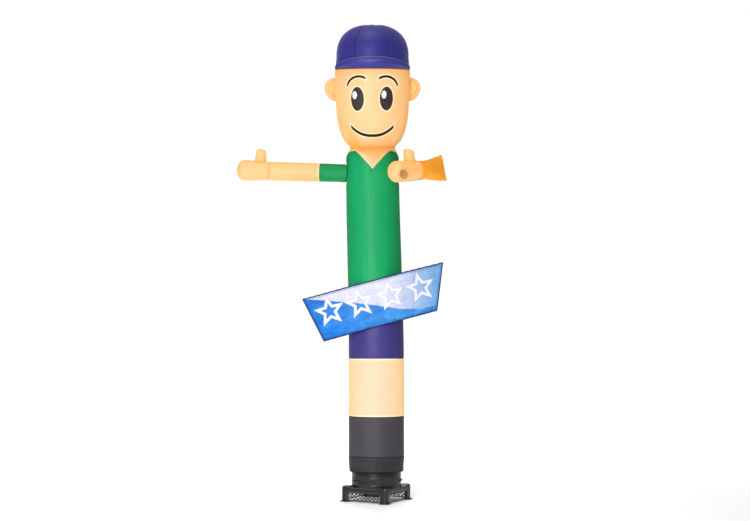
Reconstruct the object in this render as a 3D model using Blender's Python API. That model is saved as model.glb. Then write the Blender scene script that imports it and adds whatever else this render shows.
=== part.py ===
"""Inflatable air dancer standing on its blower.

A sewn nylon tube figure: stacked tube panels, a nodding head under a six-gore cap, one straight
arm, one arm folded flat at its kink, and a hemmed banner. Every panel is a thin open shell, so
the air runs from the duct up to the cap and out of the vent in each hand.
Metres, +Z up. The figure looks along -Y. Every size below is measured from the ground under the
duct's axis, and the last step sets the whole object with the middle of its box over the origin.
"""

import math
from collections import namedtuple

import bmesh
import bpy
from mathutils import Vector

# Cloth
WALL = 0.002  # thickness of every panel
GAP = 0.0003  # left between pieces that touch
TUBE_SIDES = 32
ARM_SIDES = 16

# Heights of the seams, measured along the figure
CUFF_HEM = 0.290
CUFF_SEAM = 0.458
BOOT_SEAM = 0.862
SHORTS_HEM = 1.447
WAIST_SEAM = 1.930
ARMHOLE_FOOT = 3.280
SHOULDER_SEAM = 3.620
NECK_CREASE = 3.672
CAP_EDGE = 4.481

# The V neck
V_DEPTH = 0.226
V_HALF_ANGLE = math.radians(45)
V_SEAM_GAP = 0.0006  # upright gap, since the edges slope

# How the standing tube leans sideways and the head nods forward
LEAN = 0.0415
LEAN_FOOT, LEAN_TOP = 1.30, 3.60
NOD = math.radians(13.5)
NOD_PIVOT = 3.67
NOD_FOOT, NOD_TOP = 3.54, 3.74

# The cap's dome, a superellipse over its straight band
DOME_FOOT = 4.600
DOME_HEIGHT = 0.336
DOME_RADIUS = 0.376
DOME_POWER = 2.5
CROWN_HOLE = math.radians(0.2)  # how far short of the very top the gores stop
GORES = 6

# The blower's duct, which the cuff is tied round
DUCT_RADIUS = 0.2525
DUCT_TOP = 0.420
HEM_RADIUS = DUCT_RADIUS / math.cos(math.pi / TUBE_SIDES) + 2 * GAP  # clears the duct's corners

Station = namedtuple("Station", "height radius")
BODY = (
    Station(CUFF_HEM, HEM_RADIUS),
    Station(0.2925, 0.2640),
    Station(0.298, 0.2725),
    Station(0.308, 0.2775),
    Station(0.340, 0.2800),
    Station(0.458, 0.2860),
    Station(1.447, 0.2855),
    Station(1.930, 0.2835),
    Station(3.100, 0.2805),
    Station(3.500, 0.2795),
    Station(3.555, 0.2785),
    Station(3.590, 0.2690),
    Station(3.620, 0.2560),
    Station(3.650, 0.2440),
    Station(3.672, 0.2380),
    Station(3.690, 0.2480),
    Station(3.752, 0.3020),
    Station(3.838, 0.3400),
    Station(3.962, 0.3700),
    Station(4.129, 0.3840),
    Station(4.400, 0.3920),
    Station(4.481, 0.3930),
    Station(4.520, 0.3860),
    Station(4.600, 0.3760),
)

# Arms: where each leaves the shirt, and which way it runs
SLEEVE_RADIUS = 0.095
FOREARM_RADIUS = 0.098
WRIST_RADIUS = 0.0965
PALM_RADIUS = 0.107
TIP_LENGTH = 0.075
SLEEVE_LENGTH = 0.28
STRAIGHT_FOREARM = 0.528
ARMHOLE_LIP = 0.001  # how far the shirt reaches inside the sleeve's wall
ROOT_INSIDE = 0.10  # how far a sleeve is drawn inside the shirt before it is trimmed

LEFT_ROOT = Vector((-0.321, 0.0, 3.397))
LEFT_TIP = Vector((-1.473, 0.0, 3.432))
RIGHT_ROOT = Vector((0.238, 0.0, 3.397))
FOLD = Vector((0.729, -0.060, 3.435))
RIGHT_WRIST = Vector((0.414, -0.306, 3.374))
RIGHT_TIP = Vector((0.146, -0.531, 3.315))
RIGHT_VENT = Vector((0.2726, -0.475, 3.292))  # inside the palm, where the vent's axis starts
FOLD_BEND = 0.018  # radius of the turn where the flattened arm doubles back
FOLD_STEPS = 4

Section = namedtuple("Section", "from_fold half_height half_depth")
BACK_OF_FOLD = (
    Section(0.222, 0.0975, 0.0950),
    Section(0.170, 0.1020, 0.0640),
    Section(0.110, 0.1120, 0.0380),
    Section(0.046, 0.1210, 0.0130),
)
FRONT_OF_FOLD = (
    Section(0.046, 0.1190, 0.0130),
    Section(0.120, 0.1120, 0.0400),
    Section(0.190, 0.1040, 0.0620),
    Section(0.260, 0.0985, 0.0840),
    Section(0.330, 0.0965, 0.0940),
)
FOLD_HALF_HEIGHT = 0.1220
FOLD_HALF_DEPTH = 0.0110

# Thumbs and vents
THUMB_FROM_WRIST = 0.099
THUMB_RADIUS = 0.0545
THUMB_RISE = 0.134  # above the hand
THUMB_SIDES = 12
ThumbRing = namedtuple("ThumbRing", "foot below_top width")  # measured from its foot or its top
THUMB = (
    ThumbRing(0.050, None, 1.08),
    ThumbRing(0.118, None, 1.03),
    ThumbRing(None, 0.045, 0.98),
    ThumbRing(None, 0.018, 0.83),
    ThumbRing(None, 0.0, 0.40),
)
GRIP_RADIUS = 0.0997  # the hand's radius under the thumb
PALM_STEPS = (0.0, 0.35, 0.70, 1.0)
TRIM_MARGIN = 0.02  # how far a trimming form runs past what it trims
TIP_CLIMBS = (28, 52, 74)  # degrees round the hand's blunt tip
VENT_RADIUS = 0.044
LEFT_VENT_FROM_WRIST = 0.235
VENT_REACH = 0.25  # length of the cutter, past the wall

# Ears and visor
EAR_HEIGHT_ON_HEAD = 4.282
EAR_REACH = 0.112
EAR_HALF_HEIGHT = 0.124
EAR_HALF_DEPTH = 0.042
EAR_TOP_SWELL = 0.12  # how much further the ear reaches at its top than at its foot
EAR_EDGE = 0.7  # under 1 keeps the ear thick towards its top and foot
EAR_ROWS = 7
EAR_SIDES = 12
VISOR_HALF_ANGLE = math.radians(74)
VISOR_FOOT = 0.004  # above the cap's edge
VISOR_ARCH = 0.118
VISOR_END_ARCH = 0.030
VISOR_BULGE = 0.075
VISOR_END_BULGE = 0.009
VISOR_SPREAD = 0.6  # how quickly the arch and the bulge grow from the ends

# Banner, in front of the waist: corners as (across, height)
BANNER_TOP_LEFT = (-0.762, 2.055)
BANNER_TOP_RIGHT = (0.687, 2.437)
BANNER_FOOT_RIGHT = (0.621, 1.934)
BANNER_FOOT_LEFT = (-0.536, 1.620)
BANNER_WALL = 0.003
BANNER_FLAT = 0.10  # half width that lies flat where it is sewn to the tube
BANNER_SWEEP = 0.085  # how far the free ends blow back
BANNER_WAVE = 0.012
BANNER_WAVES = 2.5
BANNER_SKEW = 0.35  # how far the waves lean over the banner's height
BANNER_CURL = 1.6  # over 1 keeps the sweep to the free ends
BANNER_STEPS = (24, 8)

# Blower
BLOWER_TURN = math.radians(-30)
BASE_SIDE = 0.530
BASE_CORNER = 0.030
CAVITY_CORNER = 0.012
CORNER_TOP = 0.160
CORNER_ROUND = (0.016, 0.005)  # how far below the top its rounding starts and steepens
CORNER_INSET = (0.008, 0.022)  # how much narrower it is there
DIP_HALF = (0.16, 0.21)  # half width of the dip between two corners, at its foot and its top
DIP_TOP = 0.18
RAIL_TOP = 0.148
DECK_TOP = 0.140
DECK_THICKNESS = 0.010
BASE_WALL = 0.022
POST_WIDTH = 0.070
WINDOW_TOP = 0.100
FOOT_SIDE = 0.095
FOOT_THICKNESS = 0.012
FOOT_PROUD = 0.0125
GRILLE_THICKNESS = 0.004
DIAMONDS = 7  # in a long row, and one fewer in the rows between
DIAMOND_PITCH = (0.052, 0.037)  # across, and up over two staggered rows
DIAMOND_HALF = (0.0215, 0.0145)
DUCT_WALL = 0.006
DUCT_BORE = 0.235  # hole in the deck
DUCT_CLEARANCE = 0.004  # round the duct, where it sits in the deck
SLOT_SIZE = (0.008, 0.040)
SLOT_HEIGHT = 0.205
SLOTS = 9
SLOT_FIRST, SLOT_LAST = math.radians(-14), math.radians(29)
MOTOR_RADIUS = 0.078
MOTOR_FOOT = 0.034
MOTOR_NOSE, MOTOR_CHEEK, MOTOR_NECK = 0.55, 0.92, 0.80  # shares of its radius
MOTOR_ROUND = 0.018
MOTOR_SIDES = 20
BRACKET_SIZE = (0.480, 0.036, 0.006)
HANDLE_RADIUS = 0.009
HANDLE_REACH = 0.036
HANDLE_HEIGHT = 0.212
HANDLE_SEAT = 0.0004  # between a grip's ends and the duct
HANDLE_BEND = (0.35, 0.022)  # share of its span, and how far out it starts to bow
HANDLE_SPAN = 3  # edges of the duct that a grip passes
HANDLE_EDGES = ((-4, "handle_left"), (8, "handle_right"))  # counted from the duct's front
ARC_STEPS = 4


# Shared helpers


def clear_scene():
    for obj in list(bpy.data.objects):
        bpy.data.objects.remove(obj, do_unlink=True)


def linear(channel):
    """A display colour channel from 0 to 255 as linear light."""
    value = channel / 255
    return value / 12.92 if value <= 0.04045 else ((value + 0.055) / 1.055) ** 2.4


def make_material(name, colour, roughness):
    material = bpy.data.materials.new(name)
    material.use_nodes = True
    shader = material.node_tree.nodes["Principled BSDF"]
    shader.inputs["Base Color"].default_value = [linear(c) for c in colour] + [1]
    shader.inputs["Roughness"].default_value = roughness
    return material


def smooth_step(share):
    share = min(max(share, 0.0), 1.0)
    return share * share * (3 - 2 * share)


def read_curve(rows, at):
    """Value and slope at `at` on a smooth curve through the rows, without overshoot."""
    places = [row[0] for row in rows]
    values = [row[1] for row in rows]
    at = min(max(at, places[0]), places[-1])
    rises = [
        (values[i + 1] - values[i]) / (places[i + 1] - places[i]) for i in range(len(rows) - 1)
    ]
    slopes = [rises[0]]
    for before, after in zip(rises, rises[1:]):
        slopes.append(2 * before * after / (before + after) if before * after > 0 else 0.0)
    slopes.append(rises[-1])
    i = max(k for k in range(len(rises)) if places[k] <= at)
    width = places[i + 1] - places[i]
    t = (at - places[i]) / width
    value = (
        values[i] * (1 + 2 * t) * (1 - t) ** 2
        + slopes[i] * width * t * (1 - t) ** 2
        + values[i + 1] * t * t * (3 - 2 * t)
        + slopes[i + 1] * width * t * t * (t - 1)
    )
    slope = (
        6 * t * (1 - t) * rises[i]
        + slopes[i] * (1 - t) * (1 - 3 * t)
        + slopes[i + 1] * t * (3 * t - 2)
    )
    return value, slope


def add_skin(bm, rings, closed, pole=None):
    """Quads between rings of points, and a fan from the last ring to a pole."""
    made = [[bm.verts.new(point) for point in ring] for ring in rings]
    count = len(rings[0])
    spans = count if closed else count - 1
    for low, high in zip(made, made[1:]):
        for j in range(spans):
            k = (j + 1) % count
            bm.faces.new((low[j], low[k], high[k], high[j]))
    if pole is not None:
        top = bm.verts.new(pole)
        for j in range(spans):
            bm.faces.new((made[-1][j], made[-1][(j + 1) % count], top))
    return made


def join_edges(bm, first, second, closed):
    """Quads across the wall between two matching rows of points."""
    count = len(first)
    for j in range(count if closed else count - 1):
        k = (j + 1) % count
        bm.faces.new((first[j], first[k], second[k], second[j]))


def finish_mesh(name, bm, material, parent=None):
    bmesh.ops.recalc_face_normals(bm, faces=bm.faces)
    if bm.calc_volume(signed=True) < 0:
        bmesh.ops.reverse_faces(bm, faces=bm.faces)
    mesh = bpy.data.meshes.new(name)
    bm.to_mesh(mesh)
    bm.free()
    obj = bpy.data.objects.new(name, mesh)
    bpy.context.scene.collection.objects.link(obj)
    obj.parent = parent
    if material:
        mesh.materials.append(material)
        mesh.shade_smooth()
        mesh.set_sharp_from_angle(angle=math.radians(40))
    return obj


def make_shell(name, outer, inner, material, closed=True, poles=None):
    """A thin wall between two matching skins, open at its rims."""
    bm = bmesh.new()
    outside = add_skin(bm, outer, closed, poles and poles[0])
    inside = add_skin(bm, inner, closed, poles and poles[1])
    join_edges(bm, outside[0], inside[0], closed)
    if poles is None:
        join_edges(bm, outside[-1], inside[-1], closed)
    if not closed:
        for side in (0, -1):
            join_edges(bm, [row[side] for row in outside], [row[side] for row in inside], False)
    return finish_mesh(name, bm, material)


def make_solid(name, rings, material, parent=None):
    """A closed solid from rings of points, flat at its first and last ring."""
    bm = bmesh.new()
    made = add_skin(bm, rings, True)
    bm.faces.new(made[0])
    bm.faces.new(made[-1])
    return finish_mesh(name, bm, material, parent)


def add_box(bm, centre, size, turn=0.0):
    """A box in a mesh, turned about the upright axis through the origin."""
    corners = []
    for up in (-1, 1):
        for across, along in ((-1, -1), (1, -1), (1, 1), (-1, 1)):
            x = centre[0] + across * size[0] / 2
            y = centre[1] + along * size[1] / 2
            turned_x = x * math.cos(turn) - y * math.sin(turn)
            turned_y = x * math.sin(turn) + y * math.cos(turn)
            corners.append(bm.verts.new((turned_x, turned_y, centre[2] + up * size[2] / 2)))
    bm.faces.new(corners[:4])
    bm.faces.new(corners[4:])
    for j in range(4):
        k = (j + 1) % 4
        bm.faces.new((corners[j], corners[k], corners[4 + k], corners[4 + j]))


def cut(target, tool, operation="DIFFERENCE"):
    tool.hide_render = True
    tool.display_type = "WIRE"
    change = target.modifiers.new(tool.name, "BOOLEAN")
    change.operation = operation
    change.solver = "EXACT"
    change.object = tool


# The standing tube and the head


def body_section(height):
    """Radius of the figure at a height, and its outward normal as (across, up)."""
    if height <= DOME_FOOT:
        radius, slope = read_curve(BODY, height)
        size = math.hypot(1.0, slope)
        return radius, (1 / size, -slope / size)
    rise = min((height - DOME_FOOT) / DOME_HEIGHT, 1.0)
    share = (1 - rise**DOME_POWER) ** (1 / DOME_POWER)
    across = share ** (DOME_POWER - 1) / DOME_RADIUS
    up = rise ** (DOME_POWER - 1) / DOME_HEIGHT
    size = math.hypot(across, up)
    return share * DOME_RADIUS, (across / size, up / size)


def body_point(height, angle, inset=0.0, side_shift=0.0):
    """A point on the figure: angle 0 faces forward and grows towards +X."""
    radius, normal = body_section(height)
    radius -= inset * normal[0]
    height -= inset * normal[1]
    tilt = NOD * smooth_step((height - NOD_FOOT) / (NOD_TOP - NOD_FOOT))
    lean = LEAN * smooth_step((height - LEAN_FOOT) / (LEAN_TOP - LEAN_FOOT))
    above = max(height - NOD_PIVOT, 0.0)
    centre = Vector((-lean, -above * math.sin(NOD), height - above * (1 - math.cos(NOD))))
    across = radius * math.sin(angle) + side_shift * math.cos(angle)
    ahead = radius * math.cos(angle) - side_shift * math.sin(angle)
    return centre + Vector((across, -ahead * math.cos(tilt), -ahead * math.sin(tilt)))


def tube_angles():
    return [2 * math.pi * j / TUBE_SIDES for j in range(TUBE_SIDES)]


def tube_panel(name, material, levels, shape=None):
    """A closed tube panel. `shape` moves a level up or down by its angle."""
    skins = []
    for inset in (0.0, WALL):
        rings = []
        for level in levels:
            ring = []
            for angle in tube_angles():
                height = shape(level, angle) if shape else level
                ring.append(body_point(height, angle, inset))
            rings.append(ring)
        skins.append(rings)
    return make_shell(name, skins[0], skins[1], material)


def seam_levels(low, high, between=()):
    """Levels of a panel that stops half a gap short of its seams."""
    return [low + GAP / 2, *between, high - GAP / 2]


def v_drop(angle):
    """How far the V neck cuts down at an angle, straight as seen from the front."""
    turned = math.remainder(angle, 2 * math.pi)
    if abs(turned) >= V_HALF_ANGLE:
        return 0.0
    return V_DEPTH * (1 - abs(math.sin(turned)) / math.sin(V_HALF_ANGLE))


def shirt_height(level, angle):
    """Levels above the armholes' foot close up under the V."""
    if level <= ARMHOLE_FOOT:
        return level
    share = (level - ARMHOLE_FOOT) / (SHOULDER_SEAM - ARMHOLE_FOOT)
    return level - v_drop(angle) * share


def neck_height(level, angle):
    """The insert fills the V and is level at the neck's crease."""
    share = (NECK_CREASE - level) / (NECK_CREASE - SHOULDER_SEAM)
    drop = v_drop(angle)
    return level - drop * share + (V_SEAM_GAP if drop and share > 0.99 else 0.0)


SHIRT_LEVELS = (2.45, 2.95, ARMHOLE_FOOT, 3.400, 3.500, 3.555, 3.590)


def build_tube(materials):
    cuff_levels = [CUFF_HEM, 0.2925, 0.298, 0.308, 0.340, CUFF_SEAM - GAP / 2]
    tube_panel("cuff", materials["cuff"], cuff_levels)
    tube_panel("boot_panel", materials["boot"], seam_levels(CUFF_SEAM, BOOT_SEAM))
    tube_panel("leg_panel", materials["skin"], seam_levels(BOOT_SEAM, SHORTS_HEM))
    tube_panel("shorts_panel", materials["shorts"], seam_levels(SHORTS_HEM, WAIST_SEAM))
    shirt_levels = seam_levels(WAIST_SEAM, SHOULDER_SEAM, SHIRT_LEVELS)
    shirt = tube_panel("shirt_panel", materials["shirt"], shirt_levels, shirt_height)
    neck_levels = seam_levels(SHOULDER_SEAM, NECK_CREASE, (3.636, 3.655))
    tube_panel("neck_insert", materials["skin"], neck_levels, neck_height)
    return shirt


HEAD_LEVELS = (3.690, 3.720, 3.760, 3.810, 3.870, 3.950, 4.060, 4.200, 4.350)


def body_form(name, levels, angles):
    """A closed solid a gap larger than the figure, to trim what is sewn onto it."""
    rings = [[body_point(level, angle, -GAP) for angle in angles] for level in levels]
    return make_solid(name, rings, None)


def build_head(materials):
    tube_panel("head_panel", materials["skin"], seam_levels(NECK_CREASE, CAP_EDGE, HEAD_LEVELS))


# The cap

GORE_STEPS = 5
DOME_ROWS = 6


def cap_levels():
    levels = [CAP_EDGE + GAP / 2, 4.540]
    for i in range(DOME_ROWS + 1):
        climb = (math.pi / 2 - CROWN_HOLE) * i / DOME_ROWS
        levels.append(DOME_FOOT + DOME_HEIGHT * math.sin(climb) ** (2 / DOME_POWER))
    return levels


def gore_angles(index):
    width = 2 * math.pi / GORES
    return [width * (index - 0.5 + j / GORE_STEPS) for j in range(GORE_STEPS + 1)]


def build_cap(materials):
    for index in range(GORES):
        skins = []
        for inset in (0.0, WALL):
            rings = []
            for level in cap_levels():
                ring = []
                angles = gore_angles(index)
                for j, angle in enumerate(angles):
                    shift = {0: GAP / 2, GORE_STEPS: -GAP / 2}.get(j, 0.0)
                    ring.append(body_point(level, angle, inset, shift))
                rings.append(ring)
            skins.append(rings)
        make_shell(f"cap_gore_{index + 1}", skins[0], skins[1], materials["cap"], closed=False)


VISOR_COLUMNS = 14
VISOR_ROWS = 6
VISOR_INSIDE = 0.02  # how far it is drawn inside the cap before it is trimmed
VISOR_EDGE = 0.003  # how far its rim stands off the cap
VISOR_LOW = 0.62  # under 1 sets the fullest part of the bulge below the middle
VISOR_ROUND = 0.75


def visor_ring(share):
    """One upright section of the visor: its bulging front and its back inside the cap."""
    angle = VISOR_HALF_ANGLE * (2 * share - 1)
    spread = max(math.cos(math.pi * (share - 0.5)), 0.0) ** VISOR_SPREAD
    arch = VISOR_END_ARCH + (VISOR_ARCH - VISOR_END_ARCH) * spread
    bulge = VISOR_END_BULGE + (VISOR_BULGE - VISOR_END_BULGE) * spread
    foot = CAP_EDGE + VISOR_FOOT
    ring = []
    for i in range(VISOR_ROWS + 1):
        up = i / VISOR_ROWS
        swell = math.sin(math.pi * up**VISOR_LOW) ** VISOR_ROUND if 0 < up < 1 else 0.0
        ring.append(body_point(foot + arch * up, angle, -bulge * swell - VISOR_EDGE))
    for up in (1.0, 0.0):
        ring.append(body_point(foot + arch * up, angle, VISOR_INSIDE))
    return ring


def build_visor(materials):
    rings = [visor_ring(i / VISOR_COLUMNS) for i in range(VISOR_COLUMNS + 1)]
    visor = make_solid("visor", rings, materials["cap"])
    angles = [angle for index in range(GORES) for angle in gore_angles(index)[:-1]]
    cut(visor, body_form("visor_trim", cap_levels()[:-1], angles))


def build_ears(materials):
    trim = body_form("ear_trim", seam_levels(NECK_CREASE, CAP_EDGE, HEAD_LEVELS), tube_angles())
    for side, name in ((-1, "ear_left"), (1, "ear_right")):
        centre = body_point(EAR_HEIGHT_ON_HEAD, side * math.pi / 2)
        rings = []
        for i in range(1, EAR_ROWS):
            climb = math.pi * (i / EAR_ROWS - 0.5)
            up = math.sin(climb)
            reach = EAR_REACH * math.cos(climb) * (1 + EAR_TOP_SWELL * up)
            depth = EAR_HALF_DEPTH * math.cos(climb) ** EAR_EDGE
            ring = []
            for j in range(EAR_SIDES):
                turn = 2 * math.pi * j / EAR_SIDES
                offset = Vector((reach * math.cos(turn), depth * math.sin(turn), 0))
                ring.append(centre + offset + Vector((0, 0, up * EAR_HALF_HEIGHT)))
            rings.append(ring)
        ear = make_solid(name, rings, materials["skin"])
        cut(ear, trim)


# Arms


def limb_ring(centre, along, half_height, half_depth):
    """One section of an arm, upright and across its run."""
    side = along.cross(Vector((0, 0, 1))).normalized()
    up = side.cross(along).normalized()
    ring = []
    for j in range(ARM_SIDES):
        turn = 2 * math.pi * j / ARM_SIDES
        offset = up * (half_height * math.cos(turn)) + side * (half_depth * math.sin(turn))
        ring.append(centre + offset)
    return ring


def limb_shell(name, material, sections, tip=None):
    """An arm panel through (centre, along, half height, half depth) sections."""
    skins = []
    for inset in (0.0, WALL):
        skins.append([limb_ring(c, a, h - inset, d - inset) for c, a, h, d in sections])
    poles = tip and (tip[0], tip[0] - tip[1] * WALL)
    return make_shell(name, skins[0], skins[1], material, poles=poles)


def straight_sections(start, end, radii):
    """Sections spread evenly from start to end, with the given radii."""
    along = (end - start).normalized()
    last = len(radii) - 1
    return [(start.lerp(end, i / last), along, r, r) for i, r in enumerate(radii)]


def build_sleeve(name, material, root, end, shirt, trim):
    """A short sleeve, trimmed to sit on the shirt around its armhole."""
    along = (end - root).normalized()
    start = root - along * ROOT_INSIDE
    stop = end - along * (GAP / 2)
    sleeve = limb_shell(name, material, straight_sections(start, stop, [SLEEVE_RADIUS] * 2))
    cut(sleeve, trim)
    hole = SLEEVE_RADIUS - WALL - ARMHOLE_LIP
    ends = (root - along * ROOT_INSIDE, root + along * ROOT_INSIDE)
    rings = [limb_ring(point, along, hole, hole) for point in ends]
    cut(shirt, make_solid(name + "_armhole", rings, None))


def tip_sections(start, end):
    """A hand from its wrist to its blunt round tip, without the last point."""
    along = (end - start).normalized()
    length = (end - start).length
    sections = []
    straight = length - TIP_LENGTH
    for share in PALM_STEPS:
        radius = WRIST_RADIUS + (PALM_RADIUS - WRIST_RADIUS) * smooth_step(share)
        sections.append((start + along * (straight * share), along, radius, radius))
    for climb in map(math.radians, TIP_CLIMBS):
        centre = start + along * (straight + TIP_LENGTH * math.sin(climb))
        radius = PALM_RADIUS * math.cos(climb)
        sections.append((centre, along, radius, radius))
    return sections, (end, along)


def build_hand(side, material, wrist, tip, vent_at, vent_along):
    """A mitten with its air vent, and the thumb that stands on it."""
    along = (tip - wrist).normalized()
    sections, end = tip_sections(wrist + along * (GAP / 2), tip)
    hand = limb_shell("hand_" + side, material, sections, end)
    ends = (vent_at, vent_at + vent_along * VENT_REACH)
    rings = [limb_ring(point, vent_along, VENT_RADIUS, VENT_RADIUS) for point in ends]
    cut(hand, make_solid("vent_" + side, rings, None))

    foot = wrist + along * THUMB_FROM_WRIST
    up = (Vector((0, 0, 1)) - along * along.z).normalized()
    rings = []
    for row in THUMB:
        rise = GRIP_RADIUS + THUMB_RISE - row.below_top if row.foot is None else row.foot
        radius = THUMB_RADIUS * row.width
        ring = []
        for j in range(THUMB_SIDES):
            turn = 2 * math.pi * j / THUMB_SIDES
            across = along * (radius * math.cos(turn))
            ahead = along.cross(up) * (radius * math.sin(turn))
            ring.append(foot + up * rise + across + ahead)
        rings.append(ring)
    thumb = make_solid("thumb_" + side, rings, material)
    trim = []
    for centre, run, half_height, half_depth in sections:
        trim.append(limb_ring(centre, run, half_height + GAP, half_depth + GAP))
    trim[0] = [point - along * TRIM_MARGIN for point in trim[0]]
    cut(thumb, make_solid("thumb_trim_" + side, trim, None))


def folded_sections(start):
    """The arm flattens towards its kink, doubles back on itself and fills out again."""
    back = (FOLD - start).normalized()
    front = (RIGHT_WRIST - FOLD).normalized()
    sections = []
    for row in BACK_OF_FOLD:
        centre = FOLD - back * row.from_fold
        sections.append((centre, back, row.half_height, row.half_depth))
    turn = back.angle(front)
    reach = FOLD_BEND * math.tan(turn / 2)
    inward = (front - back * back.dot(front)).normalized()
    centre_of_bend = FOLD - back * reach + inward * FOLD_BEND
    for i in range(FOLD_STEPS + 1):
        swing = turn * i / FOLD_STEPS
        radial = -inward * math.cos(swing) + back * math.sin(swing)
        along = back * math.cos(swing) + inward * math.sin(swing)
        centre = centre_of_bend + radial * FOLD_BEND
        sections.append((centre, along, FOLD_HALF_HEIGHT, FOLD_HALF_DEPTH))
    for row in FRONT_OF_FOLD:
        centre = FOLD + front * row.from_fold
        sections.append((centre, front, row.half_height, row.half_depth))
    wrist = RIGHT_WRIST - front * (GAP / 2)
    hand = (RIGHT_TIP - RIGHT_WRIST).normalized()
    sections.append((wrist, hand, WRIST_RADIUS, WRIST_RADIUS))
    return sections


def build_arms(materials, shirt):
    trim = body_form("sleeve_trim", SHIRT_LEVELS[1:], tube_angles())
    skin = materials["skin"]

    along = (LEFT_TIP - LEFT_ROOT).normalized()
    sleeve_end = LEFT_ROOT + along * SLEEVE_LENGTH
    wrist = sleeve_end + along * STRAIGHT_FOREARM
    build_sleeve("sleeve_left", materials["shirt"], LEFT_ROOT, sleeve_end, shirt, trim)
    radii = (SLEEVE_RADIUS, FOREARM_RADIUS, FOREARM_RADIUS, WRIST_RADIUS)
    ends = (sleeve_end + along * (GAP / 2), wrist - along * (GAP / 2))
    limb_shell("forearm_left", skin, straight_sections(*ends, radii))
    vent = wrist + along * LEFT_VENT_FROM_WRIST
    build_hand("left", skin, wrist, LEFT_TIP, vent, Vector((0, 1, 0)))

    along = (FOLD - RIGHT_ROOT).normalized()
    sleeve_end = RIGHT_ROOT + along * SLEEVE_LENGTH
    build_sleeve("sleeve_right", materials["shirt"], RIGHT_ROOT, sleeve_end, shirt, trim)
    start = sleeve_end + along * (GAP / 2)
    first = (start, along, SLEEVE_RADIUS, SLEEVE_RADIUS)
    limb_shell("forearm_right", skin, [first] + folded_sections(RIGHT_ROOT))
    build_hand("right", skin, RIGHT_WRIST, RIGHT_TIP, RIGHT_VENT, Vector((0, -1, 0)))


# Banner


def banner_point(across, up, depth):
    """A point of the banner: across and up run from 0 to 1, depth is 0 at its middle."""
    foot = [a + (b - a) * across for a, b in zip(BANNER_FOOT_LEFT, BANNER_FOOT_RIGHT)]
    top = [a + (b - a) * across for a, b in zip(BANNER_TOP_LEFT, BANNER_TOP_RIGHT)]
    x = foot[0] + (top[0] - foot[0]) * up
    z = foot[1] + (top[1] - foot[1]) * up
    seat = body_point(z, 0.0)
    free = max(abs(x) - BANNER_FLAT, 0.0) / (abs(BANNER_TOP_LEFT[0]) - BANNER_FLAT)
    sweep = BANNER_SWEEP * free**BANNER_CURL
    phase = 2 * math.pi * BANNER_WAVES * (across + BANNER_SKEW * up)
    wave = BANNER_WAVE * free * math.sin(phase)
    return Vector((x, seat.y - GAP - BANNER_WALL / 2 + sweep + wave + depth, z))


def build_banner(materials):
    columns, rows = BANNER_STEPS
    skins = []
    for depth in (-BANNER_WALL / 2, BANNER_WALL / 2):
        grid = []
        for i in range(rows + 1):
            grid.append([banner_point(j / columns, i / rows, depth) for j in range(columns + 1)])
        skins.append(grid)
    make_shell("banner", skins[0], skins[1], materials["banner"], closed=False)


# Blower


def rounded_square(side, corner, height):
    points = []
    inner = side / 2 - corner
    for quarter in range(4):
        middle = math.pi / 4 + quarter * math.pi / 2
        corner_x = math.copysign(inner, math.cos(middle))
        corner_y = math.copysign(inner, math.sin(middle))
        for i in range(ARC_STEPS + 1):
            turn = quarter * math.pi / 2 + (math.pi / 2) * i / ARC_STEPS
            x = corner_x + corner * math.cos(turn)
            y = corner_y + corner * math.sin(turn)
            points.append((x, y, height))
    return points


def stacked(name, levels, material, parent):
    """A solid from rounded squares, one for each (height, side, corner) level."""
    rings = [rounded_square(side, corner, height) for height, side, corner in levels]
    return make_solid(name, rings, material, parent)


def round_bar(name, radius, low, high, sides, material, parent):
    rings = []
    for height in (low, high):
        turns = [2 * math.pi * j / sides for j in range(sides)]
        rings.append([(radius * math.cos(t), radius * math.sin(t), height) for t in turns])
    return make_solid(name, rings, material, parent)


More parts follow.
